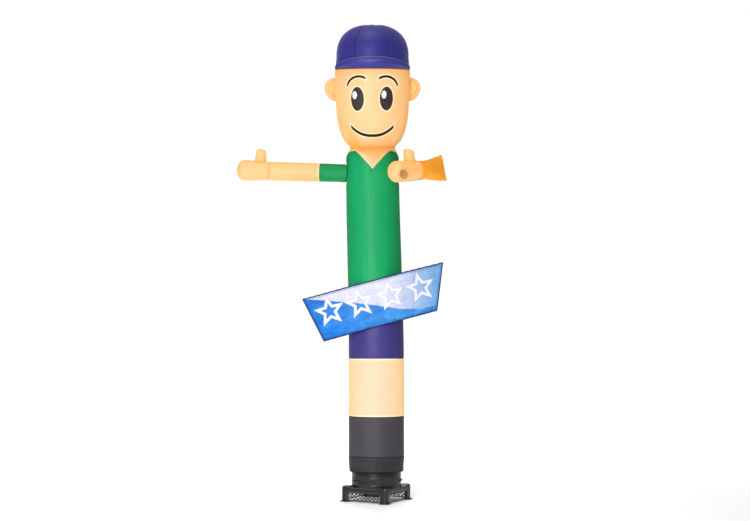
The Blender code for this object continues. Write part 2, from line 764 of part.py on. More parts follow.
def build_base(materials, blower):
    levels = (
        (0.0, BASE_SIDE, BASE_CORNER),
        (CORNER_TOP - CORNER_ROUND[0], BASE_SIDE, BASE_CORNER),
        (CORNER_TOP - CORNER_ROUND[1], BASE_SIDE - CORNER_INSET[0], BASE_CORNER),
        (CORNER_TOP, BASE_SIDE - CORNER_INSET[1], BASE_CORNER),
    )
    base = stacked("base_frame", levels, materials["plastic"], blower)

    inside = BASE_SIDE - 2 * BASE_WALL
    under_deck = DECK_TOP - DECK_THICKNESS
    cavity = ((-TRIM_MARGIN, inside, CAVITY_CORNER), (under_deck, inside, CAVITY_CORNER))
    cut(base, stacked("base_cavity", cavity, None, blower))
    above = CORNER_TOP + TRIM_MARGIN
    below = under_deck - TRIM_MARGIN
    seat = DUCT_RADIUS + DUCT_CLEARANCE
    cut(base, round_bar("base_recess", seat, DECK_TOP, above, TUBE_SIDES, None, blower))
    cut(base, round_bar("base_bore", DUCT_BORE, below, above, TUBE_SIDES, None, blower))

    width = 2 * (BASE_SIDE / 2 - POST_WIDTH)
    height = WINDOW_TOP + TRIM_MARGIN
    for index, turn in enumerate((0.0, math.pi / 2)):
        bm = bmesh.new()
        add_box(bm, (0, 0, WINDOW_TOP - height / 2), (width, 2 * BASE_SIDE, height), turn)
        cut(base, finish_mesh(f"base_windows_{index + 1}", bm, None, blower))
        dip = (
            (-DIP_HALF[0], RAIL_TOP),
            (DIP_HALF[0], RAIL_TOP),
            (DIP_HALF[1], DIP_TOP),
            (-DIP_HALF[1], DIP_TOP),
        )
        rings = [[(x, y, z) for x, z in dip] for y in (-BASE_SIDE, BASE_SIDE)]
        tool = make_solid(f"base_dip_{index + 1}", rings, None, blower)
        tool.rotation_euler = (0, 0, turn)
        cut(base, tool)

    bm = bmesh.new()
    centre = BASE_SIDE / 2 + FOOT_PROUD - FOOT_SIDE / 2
    for quarter in range(4):
        turn = quarter * math.pi / 2
        size = (FOOT_SIDE, FOOT_SIDE, FOOT_THICKNESS)
        add_box(bm, (centre, centre, FOOT_THICKNESS / 2), size, turn)
    cut(base, finish_mesh("base_feet", bm, None, blower), "UNION")


def add_diamond(bm, across, height, depth):
    """A diamond prism that runs through a grille."""
    rings = []
    for y in (-depth, depth):
        ring = []
        for dx, dz in ((-1, 0), (0, -1), (1, 0), (0, 1)):
            point = (across + dx * DIAMOND_HALF[0], y, height + dz * DIAMOND_HALF[1])
            ring.append(bm.verts.new(point))
        rings.append(ring)
        bm.faces.new(ring)
    join_edges(bm, rings[0], rings[1], True)


def build_grilles(materials, blower):
    half_width = BASE_SIDE / 2 - POST_WIDTH - GAP
    low = FOOT_THICKNESS + GAP
    high = WINDOW_TOP - GAP
    middle = (low + high) / 2
    for index in range(4):
        turn = index * math.pi / 2
        distance = BASE_SIDE / 2 - BASE_WALL / 2
        bm = bmesh.new()
        add_box(bm, (0, 0, middle), (2 * half_width, GRILLE_THICKNESS, high - low))
        grille = finish_mesh(f"grille_{index + 1}", bm, materials["grille"], blower)
        bm = bmesh.new()
        rows = int((high - low - 2 * DIAMOND_HALF[1]) / (DIAMOND_PITCH[1] / 2)) + 1
        for row in range(rows):
            height = middle + (row - (rows - 1) / 2) * DIAMOND_PITCH[1] / 2
            count = DIAMONDS - row % 2
            for column in range(count):
                across = (column - (count - 1) / 2) * DIAMOND_PITCH[0]
                add_diamond(bm, across, height, GRILLE_THICKNESS)
        holes = finish_mesh(f"grille_holes_{index + 1}", bm, None, blower)
        for piece in (grille, holes):
            piece.location = (distance * math.sin(turn), -distance * math.cos(turn), 0)
            piece.rotation_euler = (0, 0, turn)
        cut(grille, holes)


def build_duct(materials, blower):
    foot = DECK_TOP + GAP
    turns = [2 * math.pi * j / TUBE_SIDES for j in range(TUBE_SIDES)]
    skins = []
    for radius in (DUCT_RADIUS, DUCT_RADIUS - DUCT_WALL):
        rings = []
        for height in (foot, DUCT_TOP):
            rings.append([(radius * math.cos(t), radius * math.sin(t), height) for t in turns])
        skins.append(rings)
    duct = make_shell("duct", skins[0], skins[1], materials["duct"])
    duct.parent = blower
    bm = bmesh.new()
    for i in range(SLOTS):
        turn = SLOT_FIRST + (SLOT_LAST - SLOT_FIRST) * i / (SLOTS - 1)
        size = (SLOT_SIZE[0], 2 * TRIM_MARGIN, SLOT_SIZE[1])
        add_box(bm, (0, -DUCT_RADIUS, SLOT_HEIGHT), size, turn)
    cut(duct, finish_mesh("duct_slots", bm, None, blower))


def build_motor(materials, blower):
    under_deck = DECK_TOP - DECK_THICKNESS - GAP
    bm = bmesh.new()
    add_box(bm, (0, 0, under_deck - BRACKET_SIZE[2] / 2), BRACKET_SIZE)
    finish_mesh("motor_bracket", bm, materials["plastic"], blower)
    top = under_deck - BRACKET_SIZE[2] - GAP
    profile = (
        (MOTOR_RADIUS * MOTOR_NOSE, MOTOR_FOOT),
        (MOTOR_RADIUS * MOTOR_CHEEK, MOTOR_FOOT + MOTOR_ROUND / 2),
        (MOTOR_RADIUS, MOTOR_FOOT + MOTOR_ROUND),
        (MOTOR_RADIUS, top - MOTOR_ROUND),
        (MOTOR_RADIUS * MOTOR_NECK, top),
    )
    rings = []
    for radius, height in profile:
        turns = [2 * math.pi * j / MOTOR_SIDES for j in range(MOTOR_SIDES)]
        rings.append([(radius * math.cos(t), radius * math.sin(t), height) for t in turns])
    make_solid("motor", rings, materials["motor"], blower)


def build_handles(materials, blower):
    """Bowed grips whose ends meet the duct on two of its edges."""
    step = 2 * math.pi / TUBE_SIDES
    for first, name in HANDLE_EDGES:
        start = -math.pi / 2 + first * step
        curve = bpy.data.curves.new(name, "CURVE")
        curve.dimensions = "3D"
        curve.bevel_depth = HANDLE_RADIUS
        curve.bevel_resolution = 1
        curve.use_fill_caps = True
        line = curve.splines.new("POLY")
        route = [(0.0, HANDLE_SEAT), (0.0, HANDLE_BEND[1]), (HANDLE_BEND[0], HANDLE_REACH)]
        route += [(1 - share, out) for share, out in reversed(route)]
        line.points.add(len(route) - 1)
        for point, (share, out) in zip(line.points, route):
            turn = start + HANDLE_SPAN * step * share
            radius = DUCT_RADIUS + out
            place = (radius * math.cos(turn), radius * math.sin(turn), HANDLE_HEIGHT, 1)
            point.co = place
        handle = bpy.data.objects.new(name, curve)
        bpy.context.scene.collection.objects.link(handle)
        handle.parent = blower
        curve.materials.append(materials["plastic"])


def build_blower(materials):
    blower = bpy.data.objects.new("blower", None)
    bpy.context.scene.collection.objects.link(blower)
    blower.rotation_euler = (0, 0, BLOWER_TURN)
    build_base(materials, blower)
    build_grilles(materials, blower)
    build_duct(materials, blower)
    build_motor(materials, blower)
    build_handles(materials, blower)


def centre_on_origin():
    """Hang everything on one empty and set the middle of its box over the origin."""
    loose = [obj for obj in bpy.data.objects if obj.parent is None]
    figure = bpy.data.objects.new("figure", None)
    bpy.context.scene.collection.objects.link(figure)
    for obj in loose:
        obj.parent = figure
    shapes = bpy.context.evaluated_depsgraph_get()
    xs, ys = [], []
    for obj in bpy.data.objects:
        if obj.type == "EMPTY" or obj.hide_render:
            continue
        shape = obj.evaluated_get(shapes)
        for vertex in shape.to_mesh().vertices:
            place = shape.matrix_world @ vertex.co
            xs.append(place.x)
            ys.append(place.y)
        shape.to_mesh_clear()
    figure.location = (-(min(xs) + max(xs)) / 2, -(min(ys) + max(ys)) / 2, 0)


def main():
    clear_scene()
    materials = {
        "cuff": make_material("cuff cloth", (70, 70, 70), 0.6),
        "boot": make_material("boot cloth", (89, 87, 92), 0.6),
        "skin": make_material("skin cloth", (252, 214, 166), 0.55),
        "shorts": make_material("shorts cloth", (86, 79, 150), 0.55),
        "shirt": make_material("shirt cloth", (53, 173, 109), 0.55),
        "cap": make_material("cap cloth", (61, 57, 139), 0.5),
        "banner": make_material("banner cloth", (120, 180, 230), 0.5),
        "plastic": make_material("black plastic", (52, 52, 54), 0.45),
        "duct": make_material("duct plastic", (95, 95, 97), 0.4),
        "grille": make_material("grille plastic", (40, 40, 42), 0.5),
        "motor": make_material("motor casing", (48, 48, 50), 0.5),
    }
    shirt = build_tube(materials)
    build_head(materials)
    build_cap(materials)
    build_visor(materials)
    build_ears(materials)
    build_arms(materials, shirt)
    build_banner(materials)
    build_blower(materials)
    centre_on_origin()


main()
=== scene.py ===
"""Looks of the inflatable air dancer: sewn nylon panels, printed face, cap, banner and blower."""

import math
from collections import namedtuple

import bmesh
import bpy
import numpy as np
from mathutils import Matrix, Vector


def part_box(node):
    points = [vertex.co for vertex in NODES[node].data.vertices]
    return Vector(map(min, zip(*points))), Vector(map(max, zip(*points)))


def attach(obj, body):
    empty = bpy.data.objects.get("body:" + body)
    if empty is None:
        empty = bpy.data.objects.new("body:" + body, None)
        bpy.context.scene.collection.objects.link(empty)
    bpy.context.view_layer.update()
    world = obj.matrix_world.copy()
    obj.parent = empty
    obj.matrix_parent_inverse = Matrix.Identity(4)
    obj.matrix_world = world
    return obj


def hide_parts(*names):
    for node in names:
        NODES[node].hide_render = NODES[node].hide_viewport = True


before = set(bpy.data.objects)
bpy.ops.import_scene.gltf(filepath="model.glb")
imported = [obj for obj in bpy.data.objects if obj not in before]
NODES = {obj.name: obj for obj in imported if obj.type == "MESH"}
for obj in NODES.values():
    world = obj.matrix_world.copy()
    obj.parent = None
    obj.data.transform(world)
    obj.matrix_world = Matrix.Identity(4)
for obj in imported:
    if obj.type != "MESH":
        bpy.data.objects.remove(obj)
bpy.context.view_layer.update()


def middle(node):
    low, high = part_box(node)
    return (low + high) / 2


# The duct's axis on the ground, which every size of the figure is measured from
AXIS = middle("cuff") * Vector((1, 1, 0))
TAU = 2 * math.pi

# Heights of the seams along the figure
CUFF_HEM = 0.290
CUFF_SEAM = 0.458
BOOT_SEAM = 0.862
SHORTS_HEM = 1.447
WAIST_SEAM = 1.930
SHOULDER_SEAM = 3.620
ARMHOLE_FOOT = 3.280
NECK_CREASE = 3.672
CAP_EDGE = 4.481

V_DEPTH = 0.226
V_HALF_ANGLE = math.radians(45)

# Lean of the tube and nod of the head
LEAN = 0.0415
LEAN_FOOT, LEAN_TOP = 1.30, 3.60
NOD = math.radians(13.5)
NOD_PIVOT = 3.67
NOD_FOOT, NOD_TOP = 3.54, 3.74

DOME_FOOT = 4.600
DOME_HEIGHT = 0.336
DOME_RADIUS = 0.376
DOME_POWER = 2.5
GORES = 6

Station = namedtuple("Station", "height radius")
BODY = (
    Station(CUFF_HEM, 0.2540),
    Station(0.2925, 0.2640),
    Station(0.298, 0.2725),
    Station(0.308, 0.2775),
    Station(0.340, 0.2800),
    Station(0.458, 0.2860),
    Station(1.447, 0.2855),
    Station(1.930, 0.2835),
    Station(3.100, 0.2805),
    Station(3.500, 0.2795),
    Station(3.555, 0.2785),
    Station(3.590, 0.2690),
    Station(3.620, 0.2560),
    Station(3.650, 0.2440),
    Station(3.672, 0.2380),
    Station(3.690, 0.2480),
    Station(3.752, 0.3020),
    Station(3.838, 0.3400),
    Station(3.962, 0.3700),
    Station(4.129, 0.3840),
    Station(4.400, 0.3920),
    Station(4.481, 0.3930),
    Station(4.520, 0.3860),
    Station(4.600, 0.3760),
)

# Arms
SLEEVE_RADIUS = 0.095
FOREARM_RADIUS = 0.098
WRIST_RADIUS = 0.0965
PALM_RADIUS = 0.107
TIP_LENGTH = 0.075
SLEEVE_LENGTH = 0.28
STRAIGHT_FOREARM = 0.528
LEFT_ROOT = Vector((-0.321, 0.0, 3.397))
LEFT_TIP = Vector((-1.473, 0.0, 3.432))
RIGHT_ROOT = Vector((0.238, 0.0, 3.397))
FOLD = Vector((0.729, -0.060, 3.446))
RIGHT_WRIST = Vector((0.414, -0.306, 3.374))
RIGHT_TIP = Vector((0.146, -0.531, 3.315))
RIGHT_VENT = Vector((0.2726, -0.475, 3.292))
LEFT_VENT_FROM_WRIST = 0.235
FOLD_BEND = 0.018
Section = namedtuple("Section", "from_fold half_height half_depth drop", defaults=[0.0])
BACK_OF_FOLD = (
    Section(0.222, 0.0975, 0.0950),
    Section(0.170, 0.1050, 0.0640),
    Section(0.110, 0.1180, 0.0380),
    Section(0.046, 0.1310, 0.0130),
)
FRONT_OF_FOLD = (
    Section(0.046, 0.1315, 0.0130, 0.002),
    Section(0.120, 0.1245, 0.0400, 0.006),
    Section(0.190, 0.1140, 0.0620, 0.008),
    Section(0.260, 0.1035, 0.0840, 0.006),
    Section(0.330, 0.0975, 0.0940, 0.002),
)
FOLD_HALF_HEIGHT = 0.1340
FOLD_HALF_DEPTH = 0.0110
FOLD_LEAN = 0.165  # how far the fold's foot stands out past its top, for each metre of height
FOLD_LEAN_REACH = 0.22
FOLD_STEPS = 8
THUMB_FROM_WRIST = {"left": 0.099, "right": 0.082}
THUMB_RADIUS = 0.0545
THUMB_TOP = {"left": 0.230, "right": 0.214}  # above the arm's axis
GRIP_RADIUS = 0.0997  # the hand's radius under the thumb
VENT_RADIUS = 0.044

# Ears and visor
EAR_HEIGHT_ON_HEAD = 4.282
EAR_REACH = 0.112
EAR_HALF_HEIGHT = 0.124
EAR_HALF_DEPTH = 0.042
EAR_TOP_SWELL = 0.12
VISOR_HALF_ANGLE = math.radians(74)
VISOR_FOOT = 0.004
VISOR_ARCH = 0.118
VISOR_END_ARCH = 0.030
VISOR_BULGE = 0.075
VISOR_END_BULGE = 0.009
VISOR_SPREAD = 0.6

# Banner corners as (across, height)
BANNER_TOP_LEFT = (-0.762, 2.055)
BANNER_TOP_RIGHT = (0.687, 2.437)
BANNER_FOOT_RIGHT = (0.621, 1.934)
BANNER_FOOT_LEFT = (-0.536, 1.620)
BANNER_WALL = 0.003
BANNER_GAP = 0.0003  # between the banner and the cloth it is sewn to
BANNER_FLAT = 0.10
BANNER_SWEEP = 0.085
BANNER_WAVE = 0.012
BANNER_WAVES = 2.5
BANNER_SKEW = 0.35
BANNER_CURL = 1.6

# How finely the cloth is made
TUBE_COLUMNS = 360
LIMB_COLUMNS = 128
SEAM_DEPTH = 0.0045
SEAM_WIDTH = 0.0045
TURNED_IN = 0.007
TURNED_IN_WIDTH = 0.0008
SEAM_STEPS = (0.0, 0.001, 0.0025, 0.0045, 0.007, 0.010, 0.014, 0.020, 0.028, 0.038, 0.050, 0.065, 0.085)
ROW_STEP = 0.045


# Shape helpers


def smooth_step(share):
    share = np.clip(share, 0.0, 1.0)
    return share * share * (3 - 2 * share)


def bell(distance, reach):
    """1 where the distance is nothing, and soon 0 past the reach."""
    return np.exp(-((distance / reach) ** 2))


def fade(distance, reach):
    return np.exp(-distance / reach)


def calmed(relief, reach, *distances):
    """Relief that dies out towards each edge it is that far from."""
    for distance in distances:
        relief = relief * smooth_step(distance / reach)
    return relief


def turns(count):
    """Angles of the columns round something closed."""
    return TAU * np.arange(count) / count


def new_object(name, data):
    obj = bpy.data.objects.new(name, data)
    bpy.context.scene.collection.objects.link(obj)
    return obj


def curve_reader(rows):
    """A function that reads a smooth curve through (place, value) rows, with its slope."""
    places = np.array([row[0] for row in rows])
    values = np.array([row[1] for row in rows])
    rises = np.diff(values) / np.diff(places)
    slopes = np.zeros(len(rows))
    slopes[0], slopes[-1] = rises[0], rises[-1]
    for i, (before, after) in enumerate(zip(rises, rises[1:])):
        if before * after > 0:
            slopes[i + 1] = 2 * before * after / (before + after)

    def read(at):
        at = np.clip(at, places[0], places[-1])
        i = np.clip(np.searchsorted(places, at, side="right") - 1, 0, len(rises) - 1)
        width = places[i + 1] - places[i]
        t = (at - places[i]) / width
        value = values[i] * (1 + 2 * t) * (1 - t) ** 2 + slopes[i] * width * t * (1 - t) ** 2
        value += values[i + 1] * t * t * (3 - 2 * t) + slopes[i + 1] * width * t * t * (t - 1)
        slope = 6 * t * (1 - t) * rises[i] + slopes[i] * (1 - t) * (1 - 3 * t)
        return value, slope + slopes[i + 1] * t * (3 * t - 2)

    return read


read_body = curve_reader(BODY)


def body_section(level):
    """Radius of the figure at a level, and its outward normal as (across, up)."""
    radius, slope = read_body(level)
    size = np.hypot(1.0, slope)
    rise = np.clip((level - DOME_FOOT) / DOME_HEIGHT, 0.0, 1.0)
    share = (1 - rise**DOME_POWER) ** (1 / DOME_POWER)
    dome_across = share ** (DOME_POWER - 1) / DOME_RADIUS
    dome_up = rise ** (DOME_POWER - 1) / DOME_HEIGHT
    dome_size = np.hypot(dome_across, dome_up)
    dome = level > DOME_FOOT
    radius = np.where(dome, share * DOME_RADIUS, radius)
    across = np.where(dome, dome_across / dome_size, 1 / size)
    up = np.where(dome, dome_up / dome_size, -slope / size)
    return radius, across, up


def body_place(level, angle, out=0.0):
    """Points on the figure: angle 0 faces forward and grows towards +X, out is along the normal."""
    level, angle, out = np.broadcast_arrays(level, angle, out)
    radius, across, up = body_section(level)
    radius = radius + out * across
    level = level + out * up
    tilt = NOD * smooth_step((level - NOD_FOOT) / (NOD_TOP - NOD_FOOT))
    lean = LEAN * smooth_step((level - LEAN_FOOT) / (LEAN_TOP - LEAN_FOOT))
    above = np.maximum(level - NOD_PIVOT, 0.0)
    ahead = radius * np.cos(angle)
    x = AXIS.x - lean + radius * np.sin(angle)
    y = AXIS.y - above * math.sin(NOD) - ahead * np.cos(tilt)
    z = level - above * (1 - math.cos(NOD)) - ahead * np.sin(tilt)
    return np.stack([x, y, z], -1)


HEAD_PIVOT = Vector((AXIS.x - LEAN, AXIS.y, NOD_PIVOT))
HEAD_UP = Vector((0, -math.sin(NOD), math.cos(NOD)))
HEAD_AHEAD = Vector((0, -math.cos(NOD), -math.sin(NOD)))


def outside_head(points, clearance):
    """Moves points that lie inside the head out to its surface."""
    rel = points - np.array(HEAD_PIVOT)
    above = rel @ np.array(HEAD_UP)
    ahead = rel @ np.array(HEAD_AHEAD)
    side = rel[..., 0]
    reach = np.hypot(ahead, side)
    wanted = body_section(NOD_PIVOT + above)[0] + clearance
    grow = np.where(reach < wanted, wanted / np.maximum(reach, 1e-6), 1.0)
    rel = above[..., None] * np.array(HEAD_UP) + (ahead * grow)[..., None] * np.array(HEAD_AHEAD)
    rel[..., 0] = side * grow
    return rel + np.array(HEAD_PIVOT)


def rows_between(low, high):
    """Levels from seam to seam, close together near the seams."""
    length = high - low
    near = np.array([step for step in SEAM_STEPS if step < length / 2])
    count = max(int((length - 2 * near[-1]) / ROW_STEP), 1) + 1
    between = np.linspace(near[-1], length - near[-1], count)[1:-1]
    return low + np.concatenate([near, between, length - near[::-1]])


PALE_EDGE = 0.013
DEEP_CREASE = 0.0026
SOFT_DEPTH = 0.0016
Pucker = namedtuple("Pucker", "depth count reach")
SOFT = Pucker(0.0032, 46, 0.035)
FIRM = Pucker(0.0060, 40, 0.060)
PUCKER_WAVES = 5
WAVE_SPREAD = (0.55, 1.45)  # of a pucker's count from wave to wave
WAVE_DRIFT = 25  # the most that a wave turns for each metre from the seam, in radians
WAVE_SCALE = 2.4
BUNCHES = ((2, 0.45), (5, 0.3))  # how many bunches round the seam, and how uneven they make it
CREST = 0.4  # how far the cloth rises between two creases, as a share of their depth
SEAM_HOLD = 0.004  # how far from the seam the cloth is held smooth


def pucker_relief(angle, distance, pucker, seed):
    """Creases that run away from a seam and die out, bunched unevenly round it."""
    rng = np.random.default_rng(seed)
    wave = 0.0
    for _ in range(PUCKER_WAVES):
        count = round(pucker.count * rng.uniform(*WAVE_SPREAD))
        drift = rng.uniform(-WAVE_DRIFT, WAVE_DRIFT)
        wave = wave + np.sin(count * angle + rng.uniform(0, TAU) + drift * distance) / WAVE_SCALE
    bunch = 1.0
    for count, uneven in BUNCHES:
        bunch = bunch * (1 - uneven + uneven * np.sin(count * angle + rng.uniform(0, TAU)))
    strength = fade(distance, pucker.reach) * (1 - fade(distance, SEAM_HOLD))
    return pucker.depth * bunch * strength * (CREST - np.abs(wave))


def seam_relief(distance):
    """The cloth is drawn in at a seam and its edge turns under."""
    groove = SEAM_DEPTH * bell(distance, SEAM_WIDTH)
    return -groove - (TURNED_IN - SEAM_DEPTH) * bell(distance, TURNED_IN_WIDTH)


def soft_relief(angle, along, seed, depth=SOFT_DEPTH):
    """Long soft unevenness of air-filled cloth."""
    rng = np.random.default_rng(seed)
    total = 0.0
    for _ in range(6):
        count = rng.integers(2, 10)
        total = total + np.sin(count * angle + rng.uniform(0, TAU) + rng.uniform(-3.5, 3.5) * along)
    return depth * total / 3


def grid_mesh(name, points, wrap, u, v, marks=None, poles=(None, None)):
    """A mesh from rows of points, with a UV map in metres and marks as attributes."""
    rows, columns = points.shape[:2]
    spans = columns if wrap else columns - 1
    r, c = np.meshgrid(np.arange(rows - 1), np.arange(spans), indexing="ij")
    k = (c + 1) % columns
    quads = np.stack([r * columns + c, r * columns + k, (r + 1) * columns + k, (r + 1) * columns + c], -1)
    faces = quads.reshape(-1, 4).tolist()
    vertices = points.reshape(-1, 3).tolist()
    u = np.broadcast_to(u, (rows, spans + 1))
    v = np.broadcast_to(np.asarray(v), (rows, spans + 1))
    corner_u = np.stack([u[:-1, :-1], u[:-1, 1:], u[1:, 1:], u[1:, :-1]], -1).reshape(-1)
    corner_v = np.stack([v[:-1, :-1], v[:-1, 1:], v[1:, 1:], v[1:, :-1]], -1).reshape(-1)
    corners = [np.stack([corner_u, corner_v], -1)]
    for pole, row in zip(poles, (0, rows - 1)):
        if pole is None:
            continue
        vertices.append(list(pole))
        top = len(vertices) - 1
        for j in range(spans):
            first, second = row * columns + j, row * columns + (j + 1) % columns
            faces.append([second, first, top] if row == 0 else [first, second, top])
            ends = (u[row, j + 1], u[row, j]) if row == 0 else (u[row, j], u[row, j + 1])
            level = v[row, j]
            corners.append(np.array([[ends[0], level], [ends[1], level], [sum(ends) / 2, level]]))
    mesh = bpy.data.meshes.new(name)
    mesh.from_pydata(vertices, [], faces)
    layer = mesh.uv_layers.new(name="cloth")
    layer.data.foreach_set("uv", np.concatenate(corners).astype(np.float32).reshape(-1))
    for mark, values in (marks or {}).items():
        data = np.zeros(len(vertices), np.float32)
        flat = np.broadcast_to(values, (rows, columns)).reshape(-1)
        data[: len(flat)] = flat
        if len(flat) < len(vertices):
            data[len(flat) :] = flat[-1]
        mesh.attributes.new(mark, "FLOAT", "POINT").data.foreach_set("value", data)
    mesh.shade_smooth()
    return new_object(name, mesh)


def applied(obj):
    """The piece with its modifiers applied to its mesh."""
    shown = bpy.data.meshes.new_from_object(obj.evaluated_get(bpy.context.evaluated_depsgraph_get()))
    obj.modifiers.clear()
    obj.data = shown
    return obj


def settle(obj, look, node):
    """Gives a piece its material and its body, and hides the node it stands for."""
    obj.data.materials.clear()
    obj.data.materials.append(MATERIALS[look])
    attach(obj, "root")
    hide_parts(node)


# Materials

LIGHT_LEVEL = 1.45  # how far the lights lift a surface over its own colour


def linear(channel):
    value = channel / 255
    return value / 12.92 if value <= 0.04045 else ((value + 0.055) / 1.055) ** 2.4


def paint(red, green, blue):
    """A display colour as the surface colour that shows it under these lights."""
    return tuple(min(linear(channel) / LIGHT_LEVEL, 0.95) for channel in (red, green, blue)) + (1.0,)


def operator(operation, swapped=False):
    """A method of Value that adds one Math node."""

    def method(self, *others):
        return self.nodes.math(operation, *((*others, self) if swapped else (self, *others)))

    return method


class Value:
    """A number that nodes work out, with the usual arithmetic."""

    def __init__(self, nodes, socket):
        self.nodes, self.socket = nodes, socket

    __add__ = operator("ADD")
    __sub__ = operator("SUBTRACT")
    __rsub__ = operator("SUBTRACT", swapped=True)
    __mul__ = operator("MULTIPLY")
    __rmul__ = operator("MULTIPLY", swapped=True)
    __truediv__ = operator("DIVIDE")
    __pow__ = operator("POWER")
    __mod__ = operator("FLOORED_MODULO")
    __gt__ = operator("GREATER_THAN")
    __lt__ = operator("LESS_THAN")
    __abs__ = operator("ABSOLUTE")
    larger = operator("MAXIMUM")
    smaller = operator("MINIMUM")
    root = operator("SQRT")
    sine = operator("SINE")
    cosine = operator("COSINE")
    turn_from = operator("ARCTAN2")


def largest(values):
    """The largest of several node values. Of masks, 1 where any of them is."""
    most, *rest = values
    for value in rest:
        most = most.larger(value)
    return most


class Nodes:
    """Short calls that add nodes to one tree."""

    def __init__(self, tree):
        self.tree = tree

    def put(self, socket, value):
        value = value.socket if isinstance(value, Value) else value
        if isinstance(value, bpy.types.NodeSocket):
            self.tree.links.new(value, socket)
        else:
            socket.default_value = value

    def node(self, kind, inputs=(), **settings):
        made = self.tree.nodes.new("ShaderNode" + kind)
        for key, value in settings.items():
            setattr(made, key, value)
        for key, value in dict(inputs).items():
            self.put(made.inputs[key], value)
        return made

    def number(self, kind, inputs=(), output=0, **settings):
        return Value(self, self.node(kind, inputs, **settings).outputs[output])

    def math(self, operation, *values, clamp=False):
        return self.number("Math", enumerate(values), operation=operation, use_clamp=clamp)

    def span(self, value, low, high, to_low=0.0, to_high=1.0):
        """A soft step of a value from one level to another."""
        inputs = {"Value": value, "From Min": low, "From Max": high, "To Min": to_low, "To Max": to_high}
        return self.number("MapRange", inputs, interpolation_type="SMOOTHSTEP")

    def mix(self, factor, first, second):
        inputs = {0: factor, 6: first, 7: second}
        return self.node("Mix", inputs, data_type="RGBA", clamp_factor=True).outputs[2]

    def noise(self, vector, scale, detail, roughness, distortion=0.0):
        inputs = {"Vector": vector, "Scale": scale, "Detail": detail}
        inputs |= {"Roughness": roughness, "Distortion": distortion}
        return self.number("TexNoise", inputs)


SOCKETS = {
    "colour": "Base Color",
    "roughness": "Roughness",
    "normal": "Normal",
    "specular": "Specular IOR Level",
    "sheen": "Sheen Weight",
    "sheen_tint": "Sheen Tint",
    "sheen_roughness": "Sheen Roughness",
    "glow": "Emission Color",
    "glow_strength": "Emission Strength",
}


class Shader(Nodes):
    """One material."""

    def __init__(self, name):
        self.material = bpy.data.materials.new(name)
        self.material.use_nodes = True
        super().__init__(self.material.node_tree)

    def uv(self):
        split = self.node("SeparateXYZ", {0: self.node("UVMap", uv_map="cloth").outputs[0]})
        return [Value(self, socket) for socket in split.outputs[:2]]

    def place(self):
        return self.node("TexCoord").outputs["Object"]

    def mark(self, name):
        """An attribute that the mesh carries."""
        return self.number("Attribute", output="Fac", attribute_name=name)

    def bump(self, height, distance, strength, normal=None):
        inputs = {"Height": height, "Distance": distance, "Strength": strength}
        if normal is not None:
            inputs["Normal"] = normal
        return self.node("Bump", inputs).outputs[0]

    def set(self, **values):
        for key, value in values.items():
            self.put(self.tree.nodes["Principled BSDF"].inputs[SOCKETS[key]], value)
        return self.material


WEAVE_PITCH = 0.0018
WEAVE_DEPTH = 0.00012
STREAK_DEPTH = 0.025
STITCH_FROM_SEAM = 0.007
STITCH_WIDTH = 0.0011
STITCH_PITCH = 0.0045
STITCH_GAP = -0.35  # where a stitch ends on the sine wave along the seam
# Noises, each as its scale per metre, detail, roughness and distortion
MOTTLE = (2.6, 4.0, 0.6)
FINE = (55.0, 3.0, 0.7)
STREAKS = (1.6, 4.0, 0.55, 0.3)
STREAKS_ACROSS = 9.0  # how much narrower a streak is than long
CRINKLES = (18.0, 5.0, 0.55, 0.6)
FINE_SHARE = 0.20
UNEVEN = (0.34, 0.66)  # the span of its unevenness that shows
TONES = (0.90, 1.06)  # the cloth's lightness over that span
SEAM_TONE = {"Value": 0.50, "Saturation": 1.15}
STITCH_SHADE = 0.5
DULLER, GLOSSIER = 0.06, 0.05  # how far its roughness wanders
GLOSS_SPAN = (0.25, 0.75)
BUMPS = {"crinkle": 0.6, "streak": 0.5, "weave": 0.35, "stitch": 0.5}  # how strongly each shows
CLOTH_LOOKS = {
    "roughness": 0.50,
    "crinkle": 0.0030,  # depth of its crinkles
    "grain": (1.0, 1.0, 0.55),  # stretch of its crinkles
    "streaks": 0.45,  # share of its unevenness that runs along the panel
    "seam_shade": 0.42,
    "crease_shade": 0.75,
    "sheen": 0.0,
    "specular": 0.25,
}
SHEEN_ROUGHNESS = 0.45
Cloth = namedtuple("Cloth", CLOTH_LOOKS, defaults=CLOTH_LOOKS.values())


def stitch_mask(shader, u, v):
    """1 on the thread of the lockstitch that runs beside each seam."""
    off = abs(shader.mark("from_seam") - STITCH_FROM_SEAM)
    line = shader.span(off, STITCH_WIDTH * 0.4, STITCH_WIDTH, 1.0, 0.0)
    return line * (((u + v) * (TAU / STITCH_PITCH)).sine() > STITCH_GAP)


